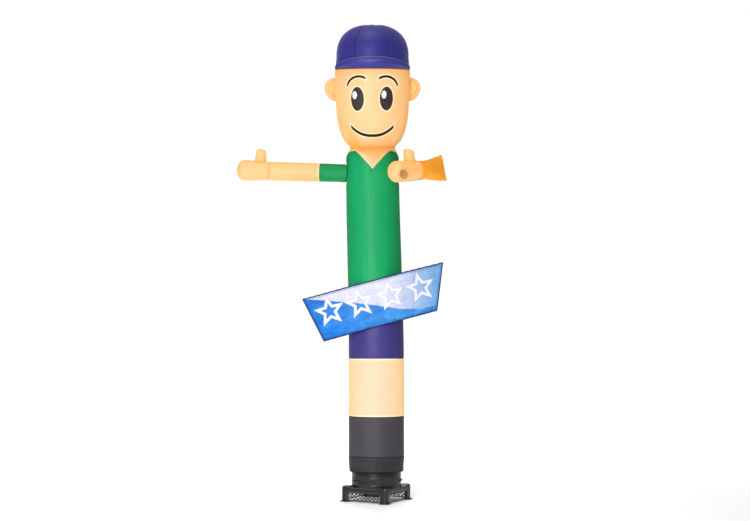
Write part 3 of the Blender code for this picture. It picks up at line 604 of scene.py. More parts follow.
def cloth_surface(shader, colour, cloth=Cloth(), seam=None, printed=None):
    """Coated nylon: crinkles, streaks along the panel, a plain weave, stitches, dark seams and painted shade
    in its creases.
    """
    place = shader.place()
    u, v = shader.uv()
    mottle, fine = shader.noise(place, *MOTTLE), shader.noise(place, *FINE)
    lengthwise = shader.node("CombineXYZ", {0: u * STREAKS_ACROSS, 1: v}).outputs[0]
    streak = shader.noise(lengthwise, *STREAKS)
    shade = mottle * (1 - FINE_SHARE - cloth.streaks) + streak * cloth.streaks + fine * FINE_SHARE
    tone = {"Color": colour, "Value": shader.span(shade, *UNEVEN, *TONES)}
    tone = shader.node("HueSaturation", tone).outputs[0]
    if seam is None:
        seam = shader.node("HueSaturation", {"Color": tone} | SEAM_TONE).outputs[0]
    stitch = stitch_mask(shader, u, v)
    # Painted shade: deep in its creases the cloth takes the seam colour, as it does along seams and stitches
    wear_and_shade = (shader.mark("seam") * cloth.seam_shade).larger(shader.mark("crease") * cloth.crease_shade)
    wear_and_shade = wear_and_shade.larger(stitch * STITCH_SHADE)
    if printed is not None:
        wear_and_shade = wear_and_shade * (1 - printed)
    shown = shader.mix(wear_and_shade.smaller(1.0), tone, seam)
    stretched = shader.node("Mapping", {"Vector": place, "Scale": cloth.grain}).outputs[0]
    normal = shader.bump(shader.noise(stretched, *CRINKLES), cloth.crinkle, BUMPS["crinkle"])
    normal = shader.bump(streak, STREAK_DEPTH * cloth.streaks, BUMPS["streak"], normal)
    per_metre = TAU / WEAVE_PITCH
    weave = (u * per_metre).sine() * (v * per_metre).sine()
    normal = shader.bump(weave, WEAVE_DEPTH, BUMPS["weave"], normal)
    normal = shader.bump(stitch, STITCH_WIDTH / 2, BUMPS["stitch"], normal)
    rough = shader.span(fine, *GLOSS_SPAN, cloth.roughness - GLOSSIER, cloth.roughness + DULLER)
    if cloth.sheen:
        shader.set(sheen=cloth.sheen, sheen_roughness=SHEEN_ROUGHNESS, sheen_tint=COOL_TINT)
    return shader.set(colour=shown, roughness=rough, normal=normal, specular=cloth.specular)


def plain_cloth(name, colour, cloth=Cloth()):
    return cloth_surface(Shader(name), colour, cloth)


# The printed face, in metres along the cloth: (across from the front, height along the figure)
HEAD_ROLL = 0.39  # metres across for one radian
Eye = namedtuple("Eye", "across height half_width half_height")
EYES = (Eye(-0.1610, 4.178, 0.0735, 0.1205), Eye(0.1500, 4.181, 0.0735, 0.1205))
GLINTS = (Eye(-0.1905, 4.215, 0.0265, 0.0400), Eye(0.1215, 4.221, 0.0265, 0.0400))
EYE_RIM = 0.007  # width of the blacker line round each eye
Stroke = namedtuple("Stroke", "start middle end width")
BROWS = (
    Stroke((-0.279, 4.316), (-0.176, 4.400), (-0.076, 4.388), 0.0240),
    Stroke((0.073, 4.386), (0.170, 4.401), (0.277, 4.319), 0.0240),
)
STROKE_TAPER = 24.0  # the higher, the nearer to its ends a stroke starts to thin
Smile = namedtuple("Smile", "centre foot half_span rise power width")
MOUTH = Smile(-0.002, 3.806, 0.256, 0.094, 2.5, 0.0300)
PRINT_EDGE = 0.0022  # softness of the print's edge
HALO = 0.013  # unprinted rim left round each print


def circle_through(stroke):
    """Centre and radius of the circle through a stroke's three points."""
    (ax, ay), (bx, by), (cx, cy) = stroke.start, stroke.middle, stroke.end
    d = 2 * (ax * (by - cy) + bx * (cy - ay) + cx * (ay - by))
    a, b, c = ax * ax + ay * ay, bx * bx + by * by, cx * cx + cy * cy
    x = (a * (by - cy) + b * (cy - ay) + c * (ay - by)) / d
    y = (a * (cx - bx) + b * (ax - cx) + c * (bx - ax)) / d
    return x, y, math.hypot(ax - x, ay - y)


def ellipse_mask(shader, u, v, eye, grow=0.0):
    """1 inside an ellipse, 0 outside."""
    across = (u - eye.across) / (eye.half_width + grow)
    up = (v - eye.height) / (eye.half_height + grow)
    edge = PRINT_EDGE / eye.half_width
    return shader.span((across * across + up * up).root(), 1 - edge, 1 + edge, 1.0, 0.0)


def stroke_mask(shader, u, v, stroke, grow=0.0):
    """1 on a pen stroke along an arc, thinner towards its ends."""
    x, y, radius = circle_through(stroke)
    from_x, from_y = u - x, v - y
    off = abs((from_x * from_x + from_y * from_y).root() - radius)
    half_span = (stroke.end[0] - stroke.start[0]) / 2 + grow + stroke.width / 3
    share = (u - (stroke.end[0] + stroke.start[0]) / 2) / half_span
    room = shader.math("SUBTRACT", 1.0, abs(share) ** STROKE_TAPER, clamp=True)
    width = room**0.5 * (stroke.width / 2 + grow)
    inside = shader.span(off - width, -PRINT_EDGE, PRINT_EDGE, 1.0, 0.0)
    above = 1.0 if stroke.middle[1] > y else -1.0
    lowest = min(stroke.start[1], stroke.end[1])
    ends = (v > lowest - stroke.width / 2 - grow) * (abs(share) < 1.0)
    return inside * ((from_y * above > 0.0) * ends)


def smile_mask(shader, u, v, smile, grow=0.0):
    """1 on the mouth's line, flat in its middle and steeper towards the cheeks."""
    off = u - smile.centre
    share = abs(off) / smile.half_span
    line = share**smile.power * smile.rise
    slope = share ** (smile.power - 1) * (smile.rise * smile.power / smile.half_span)
    away = abs(v - smile.foot - line) / (slope * slope + 1.0).root()
    half = smile.width / 2 + grow
    inside = shader.span(away, half - PRINT_EDGE, half + PRINT_EDGE, 1.0, 0.0)
    last = smile.half_span + grow
    return inside * shader.span(abs(off), last - PRINT_EDGE, last + PRINT_EDGE, 1.0, 0.0)


SKIN = paint(240, 168, 143)
SKIN_ARM = paint(240, 158, 126)
SKIN_LEG = paint(250, 146, 160)
SKIN_PALE = paint(255, 230, 222)
SKIN_SEAM_AND_SHADE = paint(214, 122, 46)
SKIN_CLOTH = Cloth(seam_shade=0.60, crease_shade=1.0, streaks=0.12)
FOLD_SHADE_ORANGE = paint(240, 150, 8)
# Painted light: glows that stand in for the light that comes through one layer of pale cloth, and dimmer
# glows in painted shade
GLOW = (0.400, 0.280, 0.045, 1.0)
LEG_GLOW = (0.400, 0.460, 0.125, 1.0)
SHADED_GLOW = (0.300, 0.160, 0.012, 1.0)
SHADE_PAINT_SHARE, SHADE_GLOW_SHARE = 0.42, 0.7  # how far painted shade takes the cloth to its shade colour and to the dimmer glow
FOLD_GLOW = (0.260, 0.120, 0.012, 1.0)
INSIDE_GLOW = (1.0, 0.72, 0.30, 1.0)
BLACK = (0.0, 0.0, 0.0, 1.0)
WARM_TINT = (1.0, 0.46, 0.10, 1.0)
COOL_TINT = (0.55, 0.50, 1.0, 1.0)
INK = paint(34, 28, 27)
INK_WORN = paint(66, 58, 54)
INK_GRAIN = (90.0, 2.0, 0.6)
INK_SPAN = (0.35, 0.65)
HALO_INK = 0.6  # how far the rim round the print takes the pale skin colour
INK_RIM = paint(10, 6, 5)
GLINT_WHITE = paint(252, 252, 252)


def skin_glow(shader, colour, glow=GLOW, printed=None, sheen=0.7):
    """Thin pale cloth with a painted glow for the warm light that comes through it, and painted shade that
    darkens it and dims that glow.
    """
    painted_shade = shader.mark("painted_shade")
    if printed is not None:
        bare = 1 - printed
        painted_shade, sheen = painted_shade * bare, sheen * bare
    # Painted shade: darker and more orange where the mark says, and the painted glow dims there and along
    # seams
    colour = shader.mix(painted_shade * SHADE_PAINT_SHARE, colour, SKIN_SEAM_AND_SHADE)
    colour = shader.mix(shader.mark("edge"), colour, SKIN_PALE)
    glow = shader.mix(painted_shade.larger(shader.mark("seam")) * SHADE_GLOW_SHARE, glow, SHADED_GLOW)
    shader.set(glow=glow, glow_strength=1.0)
    shader.set(sheen=sheen, sheen_roughness=SHEEN_ROUGHNESS, sheen_tint=WARM_TINT)
    return cloth_surface(shader, colour, SKIN_CLOTH, SKIN_SEAM_AND_SHADE, printed)


def face_cloth():
    """Skin cloth with the plain printed face: two eyes, two brows and a smile."""
    shader = Shader("printed skin cloth")
    u, v = shader.uv()

    def print_mask(grow=0.0):
        masks = [ellipse_mask(shader, u, v, eye, grow) for eye in EYES]
        masks += [stroke_mask(shader, u, v, stroke, grow) for stroke in BROWS]
        return largest([*masks, smile_mask(shader, u, v, MOUTH, grow)])

    printed = print_mask()
    colour = shader.mix(print_mask(HALO) * HALO_INK, SKIN, SKIN_PALE)
    colour = shader.mix(printed, colour, INK_RIM)
    inner = largest([ellipse_mask(shader, u, v, eye, -EYE_RIM) for eye in EYES])
    wear_and_shade = shader.span(shader.noise(shader.place(), *INK_GRAIN), *INK_SPAN)
    ink = shader.mix(wear_and_shade, INK, INK_WORN)
    colour = shader.mix(inner, colour, ink)
    glints = largest([ellipse_mask(shader, u, v, glint) for glint in GLINTS])
    colour = shader.mix(glints, colour, GLINT_WHITE)
    return skin_glow(shader, colour, shader.mix(printed, GLOW, BLACK), printed)


def inside_cloth():
    """The inner face of a hand's cloth, with a painted glow for the light that comes through it."""
    shader = Shader("inside of skin cloth")
    shader.set(glow=INSIDE_GLOW, glow_strength=0.24)
    return cloth_surface(shader, paint(226, 190, 122))


def folded_cloth():
    """Skin cloth with painted shade, a deep orange, on the folded part of the arm."""
    shader = Shader("folded arm cloth")
    fold = shader.mark("fold")
    colour = shader.mix(fold, SKIN_ARM, FOLD_SHADE_ORANGE)
    return skin_glow(shader, colour, shader.mix(fold, GLOW, FOLD_GLOW), sheen=0.25)


def cuff_cloth():
    """Doubled dark cloth, wrinkled round the duct, with a painted shadow, near black, along its hem."""
    shader = Shader("cuff cloth")
    # Painted shadow: near black along the hem
    colour = shader.mix(shader.mark("edge"), paint(53, 53, 55), paint(10, 10, 11))
    nylon = Cloth(roughness=0.60, crinkle=0.008, grain=(0.35, 0.35, 2.4), streaks=0.2)
    return cloth_surface(shader, colour, nylon)


def visor_cloth():
    """The peak's cloth, with a painted highlight on the piping along its arch."""
    shader = Shader("visor cloth")
    shade = shader.mix(shader.mark("piping"), paint(58, 58, 148), paint(150, 140, 196))
    return cloth_surface(shader, shade, Cloth(roughness=0.42))


STARS = 4
STAR_PITCH = 0.318
STAR_RADIUS = 0.163
STAR_STROKE = 0.55  # where the star's inside starts, as a share of its outline
STAR_WAIST = 0.44  # inner radius as a share of the outer one
STAR_RIM = 0.07  # width of the blue line printed round each stroke, as a share of the star
STAR_ROW = (-0.128, 1.986)  # start and height of the row, measured along the banner's slope
STAR_EDGE = 0.03  # softness of its edges, as a share of its outline
STAR_WHITE, STAR_INK = paint(244, 238, 248), 0.93
STAR_LINE, STAR_LINE_INK = paint(104, 146, 216), 0.55
# The pale part's lower edge falls steeply from the left, then less, and ends level, in shares of the height
PALE_FALLS = ((1.0, 1.115), (0.725, 0.70), (0.13, 0.0))
PALE_EDGE_SPAN = (-0.012, 0.012)
PALE_PRINT = (paint(220, 220, 238), paint(116, 174, 227))  # at its left and at its right
PALE_SPAN = (0.55, 1.02)  # where along the banner the first colour starts to turn into the second
BLUE_PRINT = (paint(24, 124, 220), paint(72, 160, 231))
BLUE_SPAN = (0.1, 0.95)
BRUSH = (1.5, 4.0, 0.55, 0.5)
BRUSH_STRETCH = (3.2, 11.0)
BRUSH_DARK, DARK_SPAN, DARK_INK = paint(14, 88, 186), (0.47, 0.64), 0.5
BRUSH_PALE, PALER_SPAN, PALER_INK = paint(84, 176, 244), (0.46, 0.34), 0.32
BRUSH_ON_PALE = 0.28  # how much of the brushwork the pale part shows
NAVY = paint(4, 40, 112)


def star_mask(shader, u, v, grow=0.0):
    """1 on each of a row of plain five-pointed stars, their outline wider by a share of their size."""
    along = u - STAR_ROW[0]
    cell = along % STAR_PITCH - STAR_PITCH / 2
    up = v - STAR_ROW[1]
    reach = (cell * cell + up * up).root()
    fifth = TAU / 5
    turn = (cell.turn_from(up) + fifth / 2) % fifth - fifth / 2
    inner = STAR_RADIUS * STAR_WAIST
    normal_x = inner * math.sin(fifth / 2)
    normal_y = STAR_RADIUS - inner * math.cos(fifth / 2)
    across = reach * turn.cosine() * normal_x + reach * abs(turn.sine()) * normal_y
    size = across / (STAR_RADIUS * normal_x)
    hollow = STAR_STROKE - grow
    inside = shader.span(size, 1 - STAR_EDGE + grow, 1 + STAR_EDGE + grow, 1.0, 0.0)
    inside = inside * shader.span(size, hollow - STAR_EDGE, hollow + STAR_EDGE)
    return inside * ((along > 0.0) * (along < STARS * STAR_PITCH))


def banner_cloth():
    """Thin printed polyester: a pale wedge over a blue band, with plain stars."""
    shader = Shader("banner cloth")
    u, v = shader.uv()
    across, up = shader.mark("across"), shader.mark("up")
    line = largest([start - across * fall for start, fall in PALE_FALLS])
    on_pale = shader.span(up - line, *PALE_EDGE_SPAN)
    pale = shader.mix(shader.span(across, *PALE_SPAN), *PALE_PRINT)
    blue = shader.mix(shader.span(across, *BLUE_SPAN), *BLUE_PRINT)
    colour = shader.mix(on_pale, blue, pale)
    sloped = {0: u * BRUSH_STRETCH[0], 1: v * BRUSH_STRETCH[1]}
    brush = shader.noise(shader.node("CombineXYZ", sloped).outputs[0], *BRUSH)
    strength = shader.span(on_pale, 0.0, 1.0, 1.0, BRUSH_ON_PALE)
    colour = shader.mix(shader.span(brush, *DARK_SPAN) * strength * DARK_INK, colour, BRUSH_DARK)
    colour = shader.mix(shader.span(brush, *PALER_SPAN) * strength * PALER_INK, colour, BRUSH_PALE)
    colour = shader.mix(star_mask(shader, u, v, STAR_RIM) * STAR_LINE_INK, colour, STAR_LINE)
    colour = shader.mix(star_mask(shader, u, v) * STAR_INK, colour, STAR_WHITE)
    colour = shader.mix(shader.mark("hem"), colour, NAVY)
    return cloth_surface(shader, colour, Cloth(roughness=0.46, crinkle=0.006, specular=0.12))


PATCHES = (9.0, 4.0, 0.6)
PATCH_SHADES = (0.45, 0.8, 0.0, 0.5)  # from and to which noise a patch gets paler, and by how much
PATCH_GLOSS = (0.3, 0.7)  # from and to which noise it gets duller
MOULD_GRAIN = (160.0, 2.0, 0.5)
EDGE_HIGHLIGHT = paint(150, 150, 152)
EDGE_HIGHLIGHT_SPAN = (0.505, 0.56)  # of the curvature over which an edge gets its painted highlight
DUCT_SHADOW_BAND = (0.262, 0.267)  # height at which the duct's plain wall gives way to a painted shadow, a near black band under the cuff


def moulded(name, colour, roughness, grain, specular=0.5, edge_highlight=0.0):
    """Moulded plastic or painted metal: a fine grain, dull patches, and a painted highlight along its edges.
    """
    shader = Shader(name)
    patch = shader.noise(shader.place(), *PATCHES)
    light = tuple(min(channel * 1.5 + 0.004, 1.0) for channel in colour[:3]) + (1.0,)
    shown = shader.mix(shader.span(patch, *PATCH_SHADES), colour, light)
    if edge_highlight:
        # Painted highlight on the rounded edges
        edges = shader.span(shader.node("NewGeometry").outputs["Pointiness"], *EDGE_HIGHLIGHT_SPAN)
        shown = shader.mix(edges * edge_highlight, shown, EDGE_HIGHLIGHT)
    rough = shader.span(patch, *PATCH_GLOSS, roughness - 0.08, roughness + 0.08)
    normal = shader.bump(shader.noise(shader.place(), *MOULD_GRAIN), grain, 0.6)
    return shader.set(colour=shown, roughness=rough, normal=normal, specular=specular)


def duct_plastic():
    """Grey moulded duct with a painted shadow, near black, round its top under the cuff."""
    shader = Shader("duct plastic")
    height = shader.node("SeparateXYZ", {0: shader.place()}).outputs[2]
    patch = shader.noise(shader.place(), *PATCHES)
    wall = shader.mix(shader.span(patch, *PATCH_SHADES), paint(44, 44, 46), paint(56, 56, 58))
    # Painted shadow under the cuff's hem
    shown = shader.mix(shader.span(height, *DUCT_SHADOW_BAND), wall, paint(12, 12, 13))
    return shader.set(colour=shown, roughness=shader.span(patch, *PATCH_GLOSS, 0.30, 0.44), specular=0.3)


GREEN_CLOTH = Cloth(seam_shade=0.75, crease_shade=1.0, specular=0.16)
CAP_CLOTH = Cloth(roughness=0.52, sheen=0.22, seam_shade=0.85)
MATERIALS = {
    "cuff": cuff_cloth(),
    "boot": plain_cloth("boot cloth", paint(72, 70, 75), Cloth(roughness=0.58)),
    "leg": skin_glow(Shader("leg cloth"), SKIN_LEG, LEG_GLOW),
    "arm": skin_glow(Shader("arm cloth"), SKIN_ARM),
    "face": face_cloth(),
    "inside": inside_cloth(),
    # Painted shade: the vent's turned-in rim is a darker brown
    "vent": plain_cloth("vent hem cloth", paint(200, 128, 58)),
    "folded": folded_cloth(),
    "shorts": plain_cloth("shorts cloth", paint(66, 57, 133)),
    "shirt": plain_cloth("shirt cloth", paint(20, 166, 99), GREEN_CLOTH),
    "sleeve": plain_cloth("sleeve cloth", paint(18, 154, 88), GREEN_CLOTH),
    "cap": plain_cloth("cap cloth", paint(46, 42, 128), CAP_CLOTH),
    "visor": visor_cloth(),
    "banner": banner_cloth(),
    "frame": moulded("frame plastic", paint(30, 30, 31), 0.34, 0.0004, specular=0.35, edge_highlight=0.7),
    "duct": duct_plastic(),
    "grille": moulded("grille plastic", paint(12, 12, 13), 0.45, 0.0003),
    "motor": moulded("motor casing", paint(24, 24, 26), 0.44, 0.0002),
    "bracket": moulded("bracket paint", paint(40, 40, 42), 0.40, 0.0002),
}


# The standing tube

CHIN_SHADE_REACH = 0.07  # how far the painted shade under the chin reaches from the neck's crease
SEAM_SHADE = 0.006  # how far a seam's dark line fades into the cloth
NECK_SHADE = 0.013
UNDER_CAP = 0.075  # how far the cap's band shades the cloth it is sewn to
TUBE_CALM = 0.1  # from a seam, within which the cloth's soft unevenness dies out
CUFF_SHADOW_TOP = 0.311  # of the painted shadow, a black band round the cuff's hem
CUFF_SHADOW_EDGE = 0.003
ARMHOLE_PUCKER = Pucker(0.011, 15, 0.055)
ARMHOLE_GROOVE = (0.007, 0.006)  # depth and half width
ARMHOLE_SEED = 71
SLEEVE_SIDE = -0.12  # how far inside the arm's root its armhole still reaches
FOLD_WIDTH = 0.0042
FOLD_DROOP = 0.010  # how much lower a wrinkle's ends hang
StrapFold = namedtuple("StrapFold", "height centre half_span depth")
STRAP_FOLDS = (
    StrapFold(0.333, -0.62, 0.55, 0.0065),
    StrapFold(0.349, -0.30, 0.70, 0.0050),
    StrapFold(0.366, -0.75, 0.45, 0.0045),
    StrapFold(0.395, 0.35, 0.60, 0.0035),
    StrapFold(0.420, -0.20, 0.80, 0.0030),
    StrapFold(0.352, 1.60, 0.80, 0.0050),
    StrapFold(0.380, 2.70, 0.60, 0.0045),
    StrapFold(0.340, -2.20, 0.70, 0.0050),
)


def v_drop(angle):
    """How far the V neck hangs below the shoulder seam."""
    turned = np.abs(np.remainder(angle + math.pi, TAU) - math.pi)
    drop = V_DEPTH * (1 - np.abs(np.sin(angle)) / math.sin(V_HALF_ANGLE))
    return np.where(turned < V_HALF_ANGLE, drop, 0.0)


def shirt_level(level, angle):
    share = np.clip((level - ARMHOLE_FOOT) / (SHOULDER_SEAM - ARMHOLE_FOOT), 0, 1)
    return level - v_drop(angle) * share


def neck_level(level, angle):
    share = (NECK_CREASE - level) / (NECK_CREASE - SHOULDER_SEAM)
    return level - v_drop(angle) * share


def armhole_relief(points):
    """The shirt is drawn in along the ring where each sleeve is sewn on."""
    total = np.zeros(points.shape[:2])
    for root, tip in ((LEFT_ROOT, LEFT_TIP), (RIGHT_ROOT, FOLD)):
        along = np.array((tip - root).normalized())
        rel = points - np.array(root + AXIS)
        off = rel - (rel @ along)[..., None] * along
        distance = np.linalg.norm(off, axis=-1) - SLEEVE_RADIUS
        turn = np.arctan2(off[..., 1], off[..., 2])
        ring = -ARMHOLE_GROOVE[0] * bell(distance, ARMHOLE_GROOVE[1])
        gather = pucker_relief(turn, np.abs(distance), ARMHOLE_PUCKER, ARMHOLE_SEED)
        total += np.where((rel @ along) > SLEEVE_SIDE, ring + gather * (distance > 0), 0.0)
    return total


def crease_mark(folds):
    """How deep the cloth lies in a crease, from 0 to 1."""
    return np.clip(-folds / DEEP_CREASE, 0.0, 1.0)


def strap_folds(level, turn):
    """Level wrinkles where the cuff is drawn tight round the duct."""
    total = 0.0
    for fold in STRAP_FOLDS:
        off = np.remainder(turn - fold.centre + math.pi, TAU) - math.pi
        line = bell(level - fold.height + FOLD_DROOP * (off / fold.half_span) ** 2, FOLD_WIDTH)
        total = total - fold.depth * line * smooth_step(1.4 - np.abs(off) / fold.half_span)
    return total


JAW = Pucker(0.0120, 30, 0.085)
# How strongly a pale line runs along a panel's low and high edge, where its dark seam line is left out
NONE, HALF, LOW, BOTH = (0, 0), (0.5, 0), (1, 0), (1, 1)
USUAL = ((SOFT, SOFT), NONE, None)
Panel = namedtuple("Panel", "name low high node look puckers edges shape", defaults=USUAL)
PANELS = (
    Panel("cuff", CUFF_HEM, CUFF_SEAM, "cuff", "cuff", (FIRM, SOFT), LOW),
    Panel("boot", CUFF_SEAM, BOOT_SEAM, "boot_panel", "boot"),
    Panel("leg", BOOT_SEAM, SHORTS_HEM, "leg_panel", "leg", edges=BOTH),
    Panel("shorts", SHORTS_HEM, WAIST_SEAM, "shorts_panel", "shorts"),
    Panel("shirt", WAIST_SEAM, SHOULDER_SEAM, "shirt_panel", "shirt", (SOFT, FIRM), shape=shirt_level),
    Panel("neck", SHOULDER_SEAM, NECK_CREASE, "neck_insert", "arm", edges=HALF, shape=neck_level),
    Panel("head", NECK_CREASE, CAP_EDGE, "head_panel", "face", (JAW, SOFT)),
)


def panel_radius(panel):
    return float(body_section(np.array((panel.low + panel.high) / 2))[0])


def tube_cloth(panel, seed):
    """One panel of the tube, from seam to seam, as a sheet of cloth."""
    level, turn = np.meshgrid(rows_between(panel.low, panel.high), turns(TUBE_COLUMNS), indexing="ij")
    from_low, from_high = level - panel.low, panel.high - level
    folds = pucker_relief(turn, from_low, panel.puckers[0], seed + 1)
    folds = folds + pucker_relief(turn, from_high, panel.puckers[1], seed + 2)
    low_shade = SEAM_SHADE
    marks = {"edge": bell(from_low, PALE_EDGE) * panel.edges[0] + bell(from_high, PALE_EDGE) * panel.edges[1]}
    placed = panel.shape(level, turn) if panel.shape else level
    if panel.name == "cuff":
        folds = folds + strap_folds(level, turn)
        # Painted shadow: a black band along the cuff's hem
        marks["edge"] = 1 - smooth_step((level - CUFF_SHADOW_TOP) / CUFF_SHADOW_EDGE)
    if panel.name == "shirt":
        folds = folds + armhole_relief(body_place(placed, turn))
    # Painted shade under the chin, on the neck and the head, and under the cap's band
    if panel.name == "neck":
        marks["painted_shade"] = fade(from_high, CHIN_SHADE_REACH)
    if panel.name == "head":
        marks["painted_shade"] = fade(from_low, CHIN_SHADE_REACH) + 0.5 * bell(from_high, UNDER_CAP)
        low_shade = NECK_SHADE
    marks["seam"] = (1 - panel.edges[0]) * fade(from_low, low_shade)
    marks["seam"] = marks["seam"] + (1 - panel.edges[1]) * fade(from_high, SEAM_SHADE)
    marks |= {"crease": crease_mark(folds), "from_seam": np.minimum(from_low, from_high)}
    out = calmed(soft_relief(turn, level, seed), TUBE_CALM, from_low, from_high)
    out = out + folds + seam_relief(from_low) + seam_relief(from_high)
    radius = HEAD_ROLL if panel.name == "head" else panel_radius(panel)
    around = TAU * np.arange(TUBE_COLUMNS + 1) / TUBE_COLUMNS
    around = (np.remainder(around + math.pi, TAU) - math.pi) * radius
    around[TUBE_COLUMNS // 2] = -math.pi * radius
    height = np.concatenate([placed, placed[:, :1]], 1)
    return grid_mesh(f"{panel.name}_cloth", body_place(placed, turn, out), True, around, height, marks)


def build_tube():
    for index, panel in enumerate(PANELS):
        cloth = tube_cloth(panel, 10 * index)
        settle(cloth, panel.look, panel.node)
        if panel.name == "neck":
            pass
        else:
            TAU * panel_radius(panel)


build_tube()


# The cap

GORE_COLUMNS = 72
GORE_ROWS = 46
GORE_EDGE_ROWS = (0, 0.01, 0.03, 0.07, 0.14, 0.25, 0.4, 0.6, 0.8)  # shares of the way up to the dome
GORE_PUCKER = Pucker(0.0034, 60, 0.030)
GORE_SWELL = 0.007
GORE_SWELL_FOOT = 0.08  # how far above the cap's edge its swell is full
GORE_ROUND = 0.8  # the lower this power, the flatter the swell's top
GORE_CREASE_FOOT = 0.03  # and how far above it its creases are full
GORE_CREASE_TURN = 2.2  # the angle that a metre of seam counts as, for its creases
GORE_UNEVEN = 0.0022
GORE_SEEDS = (300, 310, 320)  # of its unevenness, its creases and its foot's puckers
GORE_CALM = 0.05
CROWN_TILT = math.radians(0.02)  # short of the crown's top
CROWN_CALM = 0.09  # round the crown, where the relief dies out
GORE_MAP = 0.4  # width of a gore in its UV map


def gore_levels():
    straight = CAP_EDGE + (DOME_FOOT - CAP_EDGE) * np.array(GORE_EDGE_ROWS)
    climb = np.linspace(0, math.pi / 2 - CROWN_TILT, GORE_ROWS)
    return np.concatenate([straight, DOME_FOOT + DOME_HEIGHT * np.sin(climb) ** (2 / DOME_POWER)])


def build_cap():
    width = TAU / GORES
    share = 0.5 - 0.5 * np.cos(math.pi * np.linspace(0, 1, GORE_COLUMNS + 1))
    level, part = np.meshgrid(gore_levels(), share, indexing="ij")
    radius = body_section(level)[0]
    from_low = level - CAP_EDGE
    side = radius * width * np.minimum(part, 1 - part)
    shade = fade(side, SEAM_SHADE) + fade(from_low, SEAM_SHADE)
    seams = {"seam": shade, "from_seam": np.minimum(side, from_low)}
    swell = GORE_SWELL * np.sin(math.pi * part) ** GORE_ROUND * smooth_step(from_low / GORE_SWELL_FOOT)
    crown = smooth_step(radius / CROWN_CALM)
    uneven_seed, crease_seed, pucker_seed = GORE_SEEDS
    for index in range(GORES):
        turn = width * (index - 0.5 + part)
        out = soft_relief(turn, level * 3, uneven_seed + index, GORE_UNEVEN)
        out = calmed(out, GORE_CALM, side, from_low)
        creases = pucker_relief(level * GORE_CREASE_TURN, side, GORE_PUCKER, crease_seed + index)
        out = out + swell + creases * smooth_step(from_low / GORE_CREASE_FOOT)
        out = out * crown + seam_relief(side) * crown
        out = out + pucker_relief(turn, from_low, SOFT, pucker_seed + index) + seam_relief(from_low)
        u = np.linspace(-GORE_MAP / 2, GORE_MAP / 2, GORE_COLUMNS + 1) + index
        marks = seams | {"crease": crease_mark(creases)}
        gore = grid_mesh(f"gore_cloth_{index + 1}", body_place(level, turn, out), False, u, level, marks)
        settle(gore, "cap", f"cap_gore_{index + 1}")


VISOR_COLUMNS = 150
VISOR_ROWS = 44
VISOR_LOW = 0.62  # the lower this power, the lower the peak bulges most
VISOR_ROUND = 0.75  # the lower this power, the fuller it bulges
VISOR_PUCKER = Pucker(0.006, 46, 0.05)
VISOR_SEED = 331
VISOR_FLOAT = 0.001  # how far its ends stand off the cap
VISOR_CLOSE = 0.012  # share of its length in which each end closes
VISOR_CREASE_TURN = 0.6  # share of the angle round the head that its creases are counted by
VISOR_CREASES, VISOR_END_CREASES = 0.5, 1.4  # depth in its middle, and how much is added at its ends
Line = namedtuple("Line", "height from_edge half_width")
TOP_PIPING = Line(0.0045, 0.004, 0.0035)
FOOT_PIPING = Line(0.003, 0.003, 0.003)
PIPING_HIGHLIGHT = Line(1, 0.003, 0.0045)
VISOR_DARK_LINE = Line(1, 0.013, 0.004)


def line_beside(distance, line):
    """A rounded line that runs along an edge."""
    return line.height * bell(distance - line.from_edge, line.half_width)


def build_visor():
    """The cap's peak: a pocket of cloth that air pushes out from the cap's edge."""
    share = np.linspace(0.0, 1.0, VISOR_COLUMNS + 1)
    up = 0.5 - 0.5 * np.cos(math.pi * np.linspace(0.0, 1.0, VISOR_ROWS + 1))
    up, share = np.meshgrid(up, share, indexing="ij")
    angle = VISOR_HALF_ANGLE * (2 * share - 1)
    spread = np.maximum(np.cos(math.pi * (share - 0.5)), 0.0) ** VISOR_SPREAD
    arch = VISOR_END_ARCH + (VISOR_ARCH - VISOR_END_ARCH) * spread
    bulge = VISOR_END_BULGE + (VISOR_BULGE - VISOR_END_BULGE) * spread
    swell = np.maximum(np.sin(math.pi * up**VISOR_LOW), 0.0) ** VISOR_ROUND
    from_top, from_foot = (1 - up) * arch, up * arch
    from_edge = np.minimum(from_top, from_foot)
    creases = pucker_relief(angle * VISOR_CREASE_TURN, from_edge, VISOR_PUCKER, VISOR_SEED)
    creases = creases * (VISOR_CREASES + VISOR_END_CREASES * np.abs(2 * share - 1) ** 6)
    piping = line_beside(from_top, TOP_PIPING) + line_beside(from_foot, FOOT_PIPING)
    close = smooth_step(np.minimum(share, 1 - share) / VISOR_CLOSE)
    out = (bulge * swell + creases + piping) * close + VISOR_FLOAT
    level = CAP_EDGE + VISOR_FOOT + arch * up
    # Painted highlight along the piping; the seam mark puts a darker line just below it
    marks = {
        "seam": line_beside(from_top, VISOR_DARK_LINE) + fade(from_foot, SEAM_SHADE),
        "piping": line_beside(from_top, PIPING_HIGHLIGHT),
        "crease": crease_mark(creases),
        "from_seam": from_foot,
    }
    points = body_place(level, angle, out)
    visor = grid_mesh("visor_cloth", points, False, angle[0] * HEAD_ROLL, level, marks)
    settle(visor, "visor", "visor")


build_cap()
build_visor()


# Ears

EAR_ROWS = 56
EAR_COLUMNS = 96
EAR_EDGE = 0.7
EAR_SEAM = 0.66  # how far out the seam inside the rim runs, as a share of the ear
EAR_SHADE_REACH = 0.55  # how far out its painted shade comes from the head, as a share of its reach
EAR_HOLLOW = 0.30  # how much thinner it is inside that seam
EAR_HOLLOW_SLOPE = 0.3
EAR_STITCHED = 0.16  # and how much thinner still at the seam itself
EAR_GROOVE = Line(1, EAR_SEAM, 0.035)
EAR_RIM = Line(1.2, 0.99, 0.03)
EAR_SEAM_STRENGTH = 1.4
EAR_RIPPLE = 0.03
EAR_RIPPLES = (11, 3, 9)  # waves round the ear, their slant, and waves up it
EAR_CLEARANCE = 0.0006


